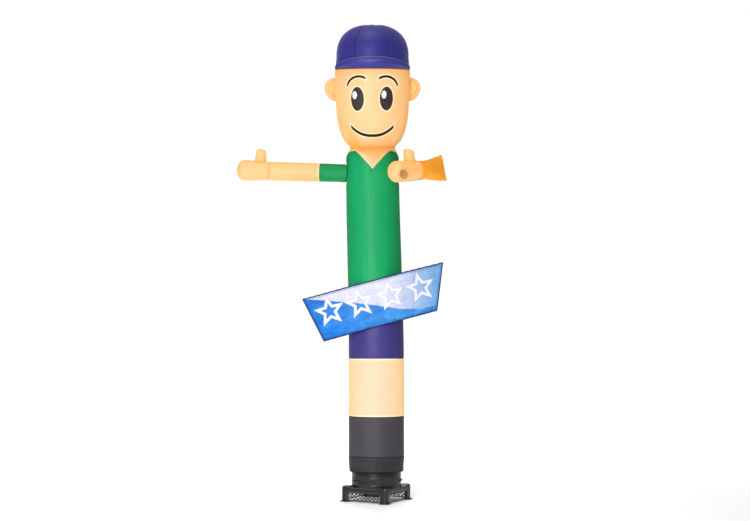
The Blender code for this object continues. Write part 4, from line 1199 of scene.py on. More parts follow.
def build_ear(name, side):
    """A padded ear, hollowed inside the seam that runs along its rim."""
    centre = body_place(EAR_HEIGHT_ON_HEAD, side * math.pi / 2)
    climb = math.pi * (np.arange(1, EAR_ROWS) / EAR_ROWS - 0.5)
    climb, turn = np.meshgrid(climb, turns(EAR_COLUMNS), indexing="ij")
    up = np.sin(climb)
    rim = np.hypot(np.cos(climb) * np.cos(turn), up)
    groove = line_beside(rim, EAR_GROOVE)
    hollow = 1 - EAR_HOLLOW * smooth_step((EAR_SEAM - rim) / EAR_HOLLOW_SLOPE) - EAR_STITCHED * groove
    around, slant, upwards = EAR_RIPPLES
    ripple = 1 + EAR_RIPPLE * np.sin(around * turn + slant * up) * np.sin(upwards * up + side)
    across = EAR_REACH * np.cos(climb) * (1 + EAR_TOP_SWELL * up) * np.cos(turn)
    depth = EAR_HALF_DEPTH * np.cos(climb) ** EAR_EDGE * np.sin(turn) * hollow * ripple
    points = outside_head(centre + np.stack([across, depth, up * EAR_HALF_HEIGHT], -1), EAR_CLEARANCE)
    tips = [centre + np.array([0.0, 0.0, end * EAR_HALF_HEIGHT]) for end in (-1, 1)]
    tips = [outside_head(tip, EAR_CLEARANCE) for tip in tips]
    height = EAR_HEIGHT_ON_HEAD + up[:, :1] * EAR_HALF_HEIGHT * np.ones(EAR_COLUMNS + 1)
    # Painted shade where the ear meets the head
    marks = {
        "seam": EAR_SEAM_STRENGTH * groove + line_beside(rim, EAR_RIM),
        "from_seam": np.abs(rim - EAR_SEAM) * EAR_REACH,
        "painted_shade": 1 - smooth_step(np.abs(across) / EAR_REACH / EAR_SHADE_REACH),
    }
    u = np.linspace(0, 0.3, EAR_COLUMNS + 1)
    ear = grid_mesh(f"ear_cloth_{name}", points, True, u, height, marks, poles=tips)
    settle(ear, "arm", f"ear_{name}")


build_ear("left", -1)
build_ear("right", 1)


# Arms

ARM_ROW_STEP = 0.011
ARM_PUCKER = Pucker(0.0034, 15, 0.045)
SLEEVE_PUCKER = Pucker(0.006, 15, 0.040)
LIMB_UNEVEN = 0.0012
LIMB_SEEDS = {"sleeve_left": 411, "sleeve_right": 412, "forearm_left": 421, "forearm_right": 431}
ARM_SEAM_SHADE = 0.005
LIMB_CALM = 0.05  # from a seam, within which the cloth's soft unevenness dies out
Run = namedtuple("Run", "centres along half_height half_depth")


def make_run(sections):
    """A smooth run through (centre, along, half height, half depth) sections, and its length."""
    centres = np.array([section[0] for section in sections])
    steps = np.linalg.norm(np.diff(centres, axis=0), axis=1)
    places = np.concatenate([[0.0], np.cumsum(steps)])
    columns = np.column_stack([centres, [s[1] for s in sections], [s[2:] for s in sections]])
    readers = [curve_reader(list(zip(places, column))) for column in columns.T]

    def read(at):
        rows = np.column_stack([reader(at)[0] for reader in readers])
        along = rows[:, 3:6] / np.linalg.norm(rows[:, 3:6], axis=1)[:, None]
        return Run(rows[:, :3], along, rows[:, 6], rows[:, 7])

    return read, places[-1]


def limb_points(run, turn, out):
    """Points round a limb, upright and across its run, pushed out along the section's normal."""
    side = np.cross(run.along, (0, 0, 1))
    side /= np.linalg.norm(side, axis=1)[:, None]
    up = np.cross(side, run.along)
    tall, deep = run.half_height[:, None], run.half_depth[:, None]
    normal_up, normal_side = np.cos(turn) / tall, np.sin(turn) / deep
    size = np.hypot(normal_up, normal_side)
    height = tall * np.cos(turn) + out * normal_up / size
    depth = deep * np.sin(turn) + out * normal_side / size
    return run.centres[:, None] + up[:, None] * height[..., None] + side[:, None] * depth[..., None]


def limb_rows(length, step=ARM_ROW_STEP):
    near = np.array([place for place in SEAM_STEPS if place < length / 3])
    count = max(int((length - 2 * near[-1]) / step), 1) + 1
    between = np.linspace(near[-1], length - near[-1], count)[1:-1]
    return np.concatenate([near, between, length - near[::-1]])


def limb_turn(rows):
    return np.broadcast_to(turns(LIMB_COLUMNS), (len(rows), LIMB_COLUMNS))


def limb_relief(node, rows, turn, length, pucker=ARM_PUCKER):
    """The cloth's unevenness between a limb's two seams, and its marks."""
    seed = LIMB_SEEDS[node]
    from_start, from_end = rows[:, None] + 0 * turn, (length - rows)[:, None] + 0 * turn
    out = soft_relief(turn, rows[:, None] * 2.5, seed, LIMB_UNEVEN)
    out = calmed(out, LIMB_CALM, from_start, from_end)
    folds = pucker_relief(turn, from_start, pucker, seed + 1)
    folds = folds + pucker_relief(turn, from_end, pucker, seed + 2)
    marks = {
        "seam": fade(from_end, ARM_SEAM_SHADE),
        "crease": crease_mark(folds),
        "edge": bell(from_start, PALE_EDGE),
        "from_seam": np.minimum(from_start, from_end),
    }
    return out + folds + seam_relief(from_start) + seam_relief(from_end), marks


def limb_map(radius):
    return np.linspace(0, TAU, LIMB_COLUMNS + 1) * radius


def straight_run(start, end, radii):
    along = (end - start).normalized()
    last = len(radii) - 1
    return make_run([(start.lerp(end, i / last), along, r, r) for i, r in enumerate(radii)])


def sew_limb(node, look, points, radius, rows, marks):
    """A panel that is rolled into a limb, its flat size taken round it and along it."""
    limb = grid_mesh(f"{node}_cloth", points, True, limb_map(radius), rows[:, None], marks)
    settle(limb, look, node)


def outside_shirt(points, along, clearance):
    """How far points slide along the arm until they are on the shirt's surface."""
    low, high = np.full(points.shape[:-1], -0.15), np.full(points.shape[:-1], 0.30)
    for _ in range(40):
        mid = (low + high) / 2
        tried = points + mid[..., None] * along
        lean = LEAN * smooth_step((tried[..., 2] - LEAN_FOOT) / (LEAN_TOP - LEAN_FOOT))
        reach = np.hypot(tried[..., 0] - AXIS.x + lean, tried[..., 1] - AXIS.y)
        inside = reach < body_section(tried[..., 2])[0] + clearance
        low, high = np.where(inside, mid, low), np.where(inside, high, mid)
    return high


def build_sleeve(node, root, end):
    """A short sleeve that starts on the shirt, all round its armhole."""
    root, end = root + AXIS, end + AXIS
    along = np.array((end - root).normalized())
    length = (end - root).length
    rows = limb_rows(length)
    turn = limb_turn(rows)
    read, _ = straight_run(root, end, (SLEEVE_RADIUS, SLEEVE_RADIUS))
    foot = outside_shirt(limb_points(read(np.zeros(1)), turn[:1], 0.0)[0], along, 0.0)
    out, marks = limb_relief(node, rows, turn, length, SLEEVE_PUCKER)
    slide = foot[None] + (length - foot)[None] * (rows / length)[:, None]
    points = limb_points(read(np.zeros(len(rows))), turn, out) + slide[..., None] * along
    sew_limb(node, "sleeve", points, SLEEVE_RADIUS, rows, marks)


def build_forearm_left(start, end):
    radii = (SLEEVE_RADIUS, FOREARM_RADIUS, FOREARM_RADIUS, WRIST_RADIUS)
    read, length = straight_run(start + AXIS, end + AXIS, radii)
    rows = limb_rows(length)
    turn = limb_turn(rows)
    out, marks = limb_relief("forearm_left", rows, turn, length)
    points = limb_points(read(rows), turn, out)
    sew_limb("forearm_left", "arm", points, FOREARM_RADIUS, rows, marks)


def folded_sections(start):
    """The arm flattens towards its kink, doubles back on itself and fills out again."""
    back = (FOLD - start).normalized()
    front = (RIGHT_WRIST - FOLD).normalized()
    hand = (RIGHT_TIP - RIGHT_WRIST).normalized()
    turn = back.angle(front)
    inward = (front - back * back.dot(front)).normalized()
    centre_of_bend = FOLD - back * FOLD_BEND * math.tan(turn / 2) + inward * FOLD_BEND
    sections = [(start + back * SLEEVE_LENGTH, back, SLEEVE_RADIUS, SLEEVE_RADIUS)]
    for row in BACK_OF_FOLD:
        sections.append((FOLD - back * row.from_fold, back, row.half_height, row.half_depth))
    for i in range(FOLD_STEPS + 1):
        swing = turn * i / FOLD_STEPS
        radial = -inward * math.cos(swing) + back * math.sin(swing)
        along = back * math.cos(swing) + inward * math.sin(swing)
        sections.append((centre_of_bend + radial * FOLD_BEND, along, FOLD_HALF_HEIGHT, FOLD_HALF_DEPTH))
    for row in FRONT_OF_FOLD:
        centre = FOLD + front * row.from_fold - Vector((0, 0, row.drop))
        sections.append((centre, front, row.half_height, row.half_depth))
    sections.append((RIGHT_WRIST, hand, WRIST_RADIUS, WRIST_RADIUS))
    return [(centre + AXIS, *rest) for centre, *rest in sections]


FOLD_ROW_STEP = 0.006
FOLD_CREASES = 6
FOLD_CREASE_DEPTH = 0.0012
FOLD_PITCHES = (0.030, 0.075)  # from crease to crease
FOLD_SLANT = 2.2  # the most a crease shifts from the arm's top to its foot, in radians of its wave
FOLD_CREASE_REACH, FOLD_CREASE_GAP = 0.13, 0.02  # how far from the kink the creases end and start
FULL_DEPTH, FLAT_SHARE = 0.06, 0.25  # the half depth from which the relief is full, and its least share
FOLD_SEED = 77
FOLD_SHADE_END, FOLD_SHADE_FADE = 0.30, 0.10  # where the painted orange shade ends, counted from the kink


def build_forearm_right():
    """The folded forearm, creased on both sides of its kink."""
    read, length = make_run(folded_sections(RIGHT_ROOT))
    rows = limb_rows(length, FOLD_ROW_STEP)
    turn = limb_turn(rows)
    run = read(rows)
    past_fold = (rows - rows[np.argmax(run.centres[:, 0])])[:, None]
    from_fold = np.abs(past_fold)
    out, marks = limb_relief("forearm_right", rows, turn, length)
    rng = np.random.default_rng(FOLD_SEED)
    creases = 0.0
    for _ in range(FOLD_CREASES):
        pitch = rng.uniform(*FOLD_PITCHES)
        slant = rng.uniform(-FOLD_SLANT, FOLD_SLANT)
        creases = creases + np.sin(TAU * past_fold / pitch + slant * np.cos(turn) + rng.uniform(0, TAU))
    near = bell(from_fold, FOLD_CREASE_REACH) * (1 - bell(from_fold, FOLD_CREASE_GAP))
    full = np.clip(run.half_depth / FULL_DEPTH, FLAT_SHARE, 1)[:, None]
    out = out * full + FOLD_CREASE_DEPTH * creases * near
    points = limb_points(run, turn, out)
    lean = FOLD_LEAN * smooth_step(1 - from_fold / FOLD_LEAN_REACH)
    points[..., 0] -= lean * (points[..., 2] - run.centres[:, None, 2])
    # Painted shade: deep orange on the arm past its kink and near it
    folded_back = (past_fold > 0) + 0.0 * turn
    marks["fold"] = np.maximum(folded_back, smooth_step((FOLD_SHADE_END - from_fold) / FOLD_SHADE_FADE))
    sew_limb("forearm_right", "folded", points, FOREARM_RADIUS, rows, marks)


TIP_ROWS = 20
TIP_CLIMB = math.radians(87)  # how far round its tip a hand's rows go, up to the pole
HAND_ROW_STEP = 0.0055
HAND_CALM = 0.05  # radius under which the tip's relief dies out
HAND_SEED = 440
VENT_RIM = 0.010
VENT_STEPS = (0.4, 0.6)  # shares of the rim's depth
VENT_HEM = 0.006  # from the vent's edge to the middle of its hem
VENT_SEAM = 0.007  # and from there to its stitches
VENT_RIDGE = Line(0.0022, 0, 0.005)
VENT_STITCHES = Line(1, VENT_SEAM, 0.0045)
VENT_LOOK = 2  # which of the hand's materials its turned-in vent edge has: a darker brown that paints the rim's shade
CLOTH_INSIDE = 0.0012


def build_hand(side, wrist, tip, vent_at, vent_along):
    """A mitten that is round at its end, with its air vent cut and hemmed."""
    wrist, tip, vent_at = wrist + AXIS, tip + AXIS, vent_at + AXIS
    along = (tip - wrist).normalized()
    length = (tip - wrist).length
    straight = length - TIP_LENGTH
    rows = limb_rows(straight + TIP_LENGTH, HAND_ROW_STEP)
    rows = rows[rows < straight]
    climb = np.linspace(0, TIP_CLIMB, TIP_ROWS)
    rows = np.concatenate([rows, straight + TIP_LENGTH * np.sin(climb)])
    radius = WRIST_RADIUS + (PALM_RADIUS - WRIST_RADIUS) * smooth_step(rows / straight)
    radius[-TIP_ROWS:] = PALM_RADIUS * np.cos(climb)
    centres = np.array(wrist) + rows[:, None] * np.array(along)
    run = Run(centres, np.tile(np.array(along), (len(rows), 1)), radius, radius)
    turn = limb_turn(rows)
    from_wrist = rows[:, None] + 0 * turn
    out = calmed(soft_relief(turn, rows[:, None] * 3, HAND_SEED), LIMB_CALM, from_wrist)
    out = out + pucker_relief(turn, from_wrist, ARM_PUCKER, HAND_SEED + 1) + seam_relief(from_wrist)
    out = out * smooth_step(radius / HAND_CALM)[:, None]
    rel = limb_points(run, turn, out) - np.array(vent_at)
    ahead = rel @ np.array(vent_along)
    off = np.linalg.norm(rel - ahead[..., None] * np.array(vent_along), axis=-1)
    ring = np.where(ahead > 0, np.abs(off - VENT_RADIUS - VENT_HEM), 1.0)
    points = limb_points(run, turn, out + line_beside(ring, VENT_RIDGE))
    marks = {
        "seam": fade(from_wrist, ARM_SEAM_SHADE) + line_beside(ring, VENT_STITCHES),
        "from_seam": np.minimum(from_wrist, np.abs(ring - VENT_SEAM) + STITCH_FROM_SEAM),
    }
    name = f"hand_{side}_cloth"
    hand = grid_mesh(name, points, True, limb_map(PALM_RADIUS), rows[:, None], marks, (None, tuple(tip)))
    open_vent(hand, vent_at, vent_along)
    settle(hand, "arm", f"hand_{side}")
    for look in ("inside", "vent"):
        hand.data.materials.append(MATERIALS[look])
    give_inside(hand)


def give_inside(hand):
    """Doubles the cloth inwards, so that its inner face has its own look."""
    layer = hand.modifiers.new("inside", "SOLIDIFY")
    layer.thickness, layer.offset = CLOTH_INSIDE, -1
    layer.use_rim = True
    layer.material_offset, layer.material_offset_rim = 1, 0
    applied(hand)


def open_vent(hand, vent_at, vent_along):
    """Cuts the round vent and turns its edge in."""
    bm = bmesh.new()
    bm.from_mesh(hand.data)

    def from_axis(point):
        rel = point - vent_at
        ahead = rel.dot(vent_along)
        return ahead, rel - vent_along * ahead

    def near_vent(point, reach):
        ahead, off = from_axis(point)
        return ahead > 0 and off.length < reach

    inside = [face for face in bm.faces if near_vent(face.calc_center_median(), VENT_RADIUS)]
    bmesh.ops.delete(bm, geom=inside, context="FACES")
    rim = []
    for edge in bm.edges:
        middle_of_edge = (edge.verts[0].co + edge.verts[1].co) / 2
        if edge.is_boundary and near_vent(middle_of_edge, VENT_RADIUS + 0.02):
            rim.append(edge)
    for vert in {vert for edge in rim for vert in edge.verts}:
        ahead, off = from_axis(vert.co)
        vert.co = vent_at + vent_along * ahead + off.normalized() * VENT_RADIUS
    for reach in VENT_STEPS:
        made = bmesh.ops.extrude_edge_only(bm, edges=rim)["geom"]
        for vert in (part for part in made if isinstance(part, bmesh.types.BMVert)):
            vert.co -= vent_along * VENT_RIM * reach
        for face in (part for part in made if isinstance(part, bmesh.types.BMFace)):
            face.material_index = VENT_LOOK
        rim = [part for part in made if isinstance(part, bmesh.types.BMEdge)]
    for face in bm.faces:
        face.smooth = True
    bm.to_mesh(hand.data)
    bm.free()


THUMB_ROWS = 40
THUMB_COLUMNS = 72
THUMB_FOOT_WIDTH = 1.1
# Its width on the way up, as shares of its radius
THUMB_CURVES = {
    "left": ((0.0, 1.10), (0.35, 1.04), (0.72, 0.99), (0.88, 0.86), (0.96, 0.62), (1.0, 0.30)),
    "right": ((0.0, 1.10), (0.35, 1.04), (0.74, 1.00), (0.90, 0.94), (0.98, 0.80), (1.0, 0.55)),
}
THUMB_SLANT = {"left": 0.0, "right": 0.30}
THUMB_PUCKER = Pucker(0.0045, 8, 0.035)
THUMB_FLARE = 0.012  # how far its foot spreads on to the hand, and how far up
THUMB_CROWDING = 1.6  # the higher this power, the closer its rows towards its tip
THUMB_SUNK = 0.0010  # how far its foot reaches into the hand's cloth
THUMB_CALM = 0.2  # share of its height below the tip where the relief dies out
THUMB_SEAM = 0.8
THUMB_SLANT_START = 0.6
THUMB_SHADE_REACH = 0.02
THUMB_CAP = 0.001
THUMB_SEED = 450


def build_thumb(side, wrist, tip):
    """A thumb that stands on its hand, drawn in where it is sewn on."""
    along = np.array((tip - wrist).normalized())
    foot = np.array(wrist + AXIS) + along * THUMB_FROM_WRIST[side]
    up = np.array((0, 0, 1)) - along * along[2]
    up /= np.linalg.norm(up)
    ahead = np.cross(along, up)
    share = 1 - (1 - np.linspace(0, 1, THUMB_ROWS)) ** THUMB_CROWDING
    share, turn = np.meshgrid(share, turns(THUMB_COLUMNS), indexing="ij")
    foot_depth = THUMB_RADIUS * THUMB_FOOT_WIDTH * np.sin(turn)
    low = np.sqrt(GRIP_RADIUS**2 - foot_depth**2) - THUMB_SUNK
    rise = low + (THUMB_TOP[side] - low) * share
    from_foot = rise - low
    below_tip = smooth_step((1 - share) / THUMB_CALM)
    out = pucker_relief(turn, from_foot, THUMB_PUCKER, THUMB_SEED) + seam_relief(from_foot) * THUMB_SEAM
    out = (out + soft_relief(turn, rise * 5, THUMB_SEED + 1)) * below_tip
    width = THUMB_RADIUS * curve_reader(THUMB_CURVES[side])(share)[0]
    radius = width + out + THUMB_FLARE * fade(from_foot, THUMB_FLARE)
    across = radius * np.cos(turn)
    slanted = smooth_step((share - THUMB_SLANT_START) / (1 - THUMB_SLANT_START))
    rise = rise + THUMB_SLANT[side] * across * slanted
    points = foot + rise[..., None] * up + across[..., None] * along
    points = points + (radius * np.sin(turn))[..., None] * ahead
    pole = points[-1].mean(axis=0) + up * THUMB_CAP
    u = np.linspace(0, TAU * THUMB_RADIUS, THUMB_COLUMNS + 1)
    v = np.concatenate([rise, rise[:, :1]], 1)
    marks = {"seam": fade(from_foot, SEAM_SHADE), "from_seam": from_foot}
    # Painted shade round the thumb's foot, where it meets the hand
    marks["painted_shade"] = fade(from_foot, THUMB_SHADE_REACH)
    thumb = grid_mesh(f"thumb_{side}_cloth", points, True, u, v, marks, (None, tuple(pole)))
    settle(thumb, "arm", f"thumb_{side}")


def build_arms():
    along = (LEFT_TIP - LEFT_ROOT).normalized()
    sleeve_end = LEFT_ROOT + along * SLEEVE_LENGTH
    wrist = sleeve_end + along * STRAIGHT_FOREARM
    build_sleeve("sleeve_left", LEFT_ROOT, sleeve_end)
    build_forearm_left(sleeve_end, wrist)
    build_hand("left", wrist, LEFT_TIP, wrist + along * LEFT_VENT_FROM_WRIST, Vector((0, 1, 0)))
    build_thumb("left", wrist, LEFT_TIP)
    along = (FOLD - RIGHT_ROOT).normalized()
    build_sleeve("sleeve_right", RIGHT_ROOT, RIGHT_ROOT + along * SLEEVE_LENGTH)
    build_forearm_right()
    build_hand("right", RIGHT_WRIST, RIGHT_TIP, RIGHT_VENT, Vector((0, -1, 0)))
    build_thumb("right", RIGHT_WRIST, RIGHT_TIP)


build_arms()


# Banner

BANNER_GRID = (220, 84)
HEM = 0.024
HEM_STITCH = 0.004  # half the width of the line its stitches draw in
HEM_PUCKERS = 4
HEM_PUCKER_DEPTH = 0.0012
HEM_PITCHES, HEM_REACHES, HEM_LEAN = (0.030, 0.085), (0.03, 0.08), 0.7
LONG_FOLDS = 7
LONG_FOLD_DEPTH = 0.0011
LONG_PITCHES, LONG_SLANT = (0.09, 0.26), 0.35
HEM_RISE = 0.0010  # of the doubled cloth over the single
HEM_GROOVE = 0.0022
HALF_SHEET = (0.0014, 0.0008)  # half the thickness of the doubled hem and of the single cloth
RIPPLE_PITCH, RIPPLE_DEPTH, RIPPLE_REACH = 0.07, 0.0016, 0.02  # of the top hem's rise and fall
CALM_SHARE = 0.35  # of its relief, where it lies on the tube
BANNER_SEED = 88
EDGE_LINE = (0.011, 0.016)  # the navy line round the print is solid to the first and gone at the second
BANNER_RISE = np.subtract(BANNER_TOP_RIGHT, BANNER_TOP_LEFT)
BANNER_SLOPE = math.atan2(BANNER_RISE[1], BANNER_RISE[0])


def banner_relief(x, z, edge, distances):
    """Puckers that run in from each hem, long soft folds, and the hem's own thickness."""
    rng = np.random.default_rng(BANNER_SEED)
    relief = 0.0
    for distance, along_edge in zip(distances, (x, x, z, z)):
        for _ in range(HEM_PUCKERS):
            pitch = rng.uniform(*HEM_PITCHES)
            lean = rng.uniform(-HEM_LEAN, HEM_LEAN)
            crease = np.sin(TAU * (along_edge + lean * distance) / pitch + rng.uniform(0, TAU))
            relief = relief + HEM_PUCKER_DEPTH * crease * fade(distance, rng.uniform(*HEM_REACHES))
    for _ in range(LONG_FOLDS):
        slant = rng.normal(0.0, LONG_SLANT)
        pitch = rng.uniform(*LONG_PITCHES)
        across = z * math.cos(slant) + x * math.sin(slant)
        relief = relief + LONG_FOLD_DEPTH * np.sin(TAU * across / pitch + rng.uniform(0, TAU))
    return relief - HEM_GROOVE * bell(edge - HEM, HEM_STITCH) + HEM_RISE * (edge < HEM)


def build_banner():
    """Thin cloth sewn across the waist, its free ends blown back, puckered along its hems."""
    columns, rows = BANNER_GRID
    up, across = np.meshgrid(np.linspace(0, 1, rows + 1), np.linspace(0, 1, columns + 1), indexing="ij")
    corners = (BANNER_FOOT_LEFT, BANNER_FOOT_RIGHT, BANNER_TOP_LEFT, BANNER_TOP_RIGHT)
    foot_left, foot_right, top_left, top_right = (np.array(corner) for corner in corners)
    foot = foot_left + (foot_right - foot_left) * across[..., None]
    top = top_left + (top_right - top_left) * across[..., None]
    flat = foot + (top - foot) * up[..., None]
    x, z = flat[..., 0], flat[..., 1]
    free = np.maximum(np.abs(x) - BANNER_FLAT, 0.0) / (abs(BANNER_TOP_LEFT[0]) - BANNER_FLAT)
    wave = BANNER_WAVE * free * np.sin(TAU * BANNER_WAVES * (across + BANNER_SKEW * up))
    front = body_place(z, 0.0)[..., 1] - BANNER_GAP - BANNER_WALL / 2
    y = front + BANNER_SWEEP * free**BANNER_CURL + wave
    tall = np.linalg.norm(top - foot, axis=-1)
    wide = np.linalg.norm(foot_right - foot_left) * (1 - up) + np.linalg.norm(top_right - top_left) * up
    distances = (up * tall, (1 - up) * tall, across * wide, (1 - across) * wide)
    edge = np.minimum.reduce(distances)
    y = y - banner_relief(x, z, edge, distances) * (CALM_SHARE + (1 - CALM_SHARE) * np.minimum(free * 3, 1))
    ripple = np.sin(TAU * x / RIPPLE_PITCH) * RIPPLE_DEPTH * fade(distances[1], RIPPLE_REACH)
    half = np.where(edge < HEM, *HALF_SHEET)
    u = x * math.cos(BANNER_SLOPE) + z * math.sin(BANNER_SLOPE)
    v = z * math.cos(BANNER_SLOPE) - x * math.sin(BANNER_SLOPE)
    navy = smooth_step((EDGE_LINE[1] - edge) / (EDGE_LINE[1] - EDGE_LINE[0]))
    marks = {"hem": 0.45 * bell(edge - HEM, 0.005) + navy, "seam": 0 * edge}
    marks |= {"from_seam": edge - HEM + STITCH_FROM_SEAM, "across": across, "up": up}
    sides = []
    for name, offset, order in (("banner_cloth", -half, 1), ("banner_back", half, -1)):
        points = np.stack([x + AXIS.x, y + offset, z + ripple], -1)
        turned = [values[:, ::order] for values in (points, u, v)]
        side_marks = {mark: values[:, ::order] for mark, values in marks.items()}
        sides.append(grid_mesh(name, turned[0], False, *turned[1:], side_marks))
    banner, back = sides
    bm = bmesh.new()
    for side in sides:
        bm.from_mesh(side.data)
    bmesh.ops.bridge_loops(bm, edges=[edge for edge in bm.edges if edge.is_boundary])
    bm.to_mesh(banner.data)
    bm.free()
    bpy.data.objects.remove(back)
    banner.data.shade_smooth()
    settle(banner, "banner", "banner")


build_banner()


# Blower

BLOWER_TURN = math.radians(-30)
DUCT_RADIUS = 0.2525
DUCT_FOOT = 0.1403
DUCT_TOP = 0.420
DUCT_WALL = 0.006
DUCT_COLUMNS = 144
DUCT_ROWS = 24
DUCT_BEVEL, BEVELLED_FROM = 0.0010, math.radians(50)
DUCT_LIP = 0.001  # how far and how high its foot is drawn in
DUCT_RIBS = (0.168, 0.240)  # heights of two raised lines round the duct
RIB_RISE = 0.0022
RIB_HALF = 0.0030
RIB_ROWS = np.linspace(-1.6, 1.6, 7)  # in half widths
SLOT_SIZE = (0.008, 0.040)
SLOT_HEIGHT = 0.205
SLOTS = 9
SLOT_CLEAR = 0.004  # no plain column stands nearer to a slot, in radians
SLOT_FIRST, SLOT_LAST = math.radians(-14), math.radians(29)
BASE_SIDE = 0.530
BASE_WALL = 0.022
GRILLE_HALF_WIDTH = 0.1945
GRILLE_LOW, GRILLE_HIGH = 0.0125, 0.0995
GRILLE_PITCH = (0.046, 0.032)  # of its diamonds, across and up
GRILLE_BAR = (0.0031, 0.0020)  # half its width and half its depth
GRILLE_RIM = (0.0050, 0.0030)
BAR_OUTLINE = ((-1, -0.4), (-0.6, -1), (0.6, -1), (1, -0.4), (1, 0.4), (0.6, 1), (-0.6, 1), (-1, 0.4))
GRIP_HEIGHT = 0.212
GRIP_REACH = 0.016
GRIP_HALF = (0.008, 0.0045)  # half its height and half its thickness
GRIP_SPANS = {"handle_left": (-45.0, -11.25), "handle_right": (90.0, 123.75)}
GRIP_GRID = (41, 20)
ROUNDING_STEPS = 10
Moulding = namedtuple("Moulding", "node voxel look slot")
MOULDINGS = (
    Moulding("base_frame", 0.0045, "frame", "frame_plastic"),
    Moulding("motor", 0.0035, "motor", "motor_casing"),
)


def turned_flat(points, angle):
    """Points turned about the upright axis."""
    points = np.asarray(points, float)
    c, s = math.cos(angle), math.sin(angle)
    x, y, z = points[..., 0], points[..., 1], points[..., 2]
    return np.stack([c * x - s * y, s * x + c * y, z], -1)


def on_blower(points):
    """Blower points, whose front faces -Y, turned and moved to where it stands."""
    return turned_flat(points, BLOWER_TURN) + np.array(AXIS)


def build_moulded():
    """The frame and the motor with the rounded edges that a mould leaves."""
    for part in MOULDINGS:
        piece = new_object(f"{part.node}_moulded", NODES[part.node].data.copy())
        remesh = piece.modifiers.new("even mesh", "REMESH")
        remesh.mode, remesh.voxel_size = "VOXEL", part.voxel
        rounded = piece.modifiers.new("rounded edges", "SMOOTH")
        rounded.factor, rounded.iterations = 0.5, ROUNDING_STEPS
        applied(piece).data.shade_smooth()
        settle(piece, part.look, part.node)


def build_duct():
    """A round duct with two raised lines and a row of slots."""
    slots = np.linspace(SLOT_FIRST, SLOT_LAST, SLOTS)
    half = SLOT_SIZE[0] / 2 / DUCT_RADIUS
    low, high = SLOT_HEIGHT - SLOT_SIZE[1] / 2, SLOT_HEIGHT + SLOT_SIZE[1] / 2
    plain = turns(DUCT_COLUMNS) - math.pi
    plain = plain[np.abs(plain[:, None] - slots).min(axis=1) > half + SLOT_CLEAR]
    turn = np.sort(np.concatenate([plain, slots - half, slots + half]))
    rows = [np.linspace(DUCT_FOOT, DUCT_TOP, DUCT_ROWS), [low, high]]
    rows += [rib + RIB_HALF * RIB_ROWS for rib in DUCT_RIBS]
    rows = np.unique(np.concatenate(rows))
    level, angle = np.meshgrid(rows, turn, indexing="ij")
    radius = DUCT_RADIUS - DUCT_LIP * (level < DUCT_FOOT + DUCT_LIP)
    for rib in DUCT_RIBS:
        radius = radius + RIB_RISE * np.exp(-(((level - rib) / RIB_HALF) ** 4))
    points = on_blower(np.stack([radius * np.sin(angle), -radius * np.cos(angle), level], -1))
    around = np.append(turn, turn[0] + TAU) * DUCT_RADIUS
    duct = grid_mesh("duct_moulded", points, True, around, rows[:, None])
    bm = bmesh.new()
    bm.from_mesh(duct.data)
    holes = []
    for face in bm.faces:
        spot = face.calc_center_median() - AXIS
        turned = math.atan2(spot.x, -spot.y) - BLOWER_TURN
        if low < spot.z < high and np.abs(slots - turned).min() < half:
            holes.append(face)
    bmesh.ops.delete(bm, geom=holes, context="FACES")
    bm.to_mesh(duct.data)
    bm.free()
    wall = duct.modifiers.new("wall", "SOLIDIFY")
    wall.thickness, wall.offset = DUCT_WALL, -1
    edge = duct.modifiers.new("soft edges", "BEVEL")
    edge.width, edge.segments, edge.limit_method = DUCT_BEVEL, 2, "ANGLE"
    edge.angle_limit = BEVELLED_FROM
    applied(duct).data.shade_smooth()
    settle(duct, "duct", "duct")


def bar_between(bm, start, end, half):
    """A flat bar with bevelled edges from one point to another."""
    start, end = Vector(start), Vector(end)
    side = (end - start).cross(Vector((0, 1, 0))).normalized()
    rings = []
    for place in (start, end):
        offsets = [side * half[0] * across + Vector((0, half[1] * deep, 0)) for across, deep in BAR_OUTLINE]
        rings.append([bm.verts.new(place + offset) for offset in offsets])
    for i in range(len(BAR_OUTLINE)):
        bm.faces.new((rings[0][i], rings[0][i - 1], rings[1][i - 1], rings[1][i]))
    bm.faces.new(rings[0])
    bm.faces.new(rings[1][::-1])


def build_grilles():
    """Diamond guards over the four air windows, with a rim round each."""
    low, high = GRILLE_LOW + GRILLE_RIM[0], GRILLE_HIGH - GRILLE_RIM[0]
    half_width = GRILLE_HALF_WIDTH - GRILLE_RIM[0]
    slope = GRILLE_PITCH[1] / GRILLE_PITCH[0]
    run = (high - low) / slope
    for index in range(4):
        bm = bmesh.new()
        first = -half_width - run
        for step in range(math.ceil((half_width - first) / GRILLE_PITCH[0])):
            foot = first + (step + 0.5) * GRILLE_PITCH[0]
            left, right = max(foot, -half_width), min(foot + run, half_width)
            if right - left < GRILLE_RIM[0]:
                continue
            for flip in (-1, 1):
                ends = [(flip * x, 0, low + (x - foot) * slope) for x in (left, right)]
                bar_between(bm, *ends, GRILLE_BAR)
        corners = [(-half_width, 0, low), (half_width, 0, low), (half_width, 0, high), (-half_width, 0, high)]
        for corner, following in zip(corners, corners[1:] + corners[:1]):
            bar_between(bm, corner, following, GRILLE_RIM)
        for vert in bm.verts:
            spot = vert.co - Vector((0, BASE_SIDE / 2 - BASE_WALL / 2, 0))
            vert.co = on_blower(turned_flat(spot, index * math.pi / 2))
        mesh = bpy.data.meshes.new(f"grille_bars_{index + 1}")
        bm.to_mesh(mesh)
        bm.free()
        settle(new_object(mesh.name, mesh), "grille", f"grille_{index + 1}")


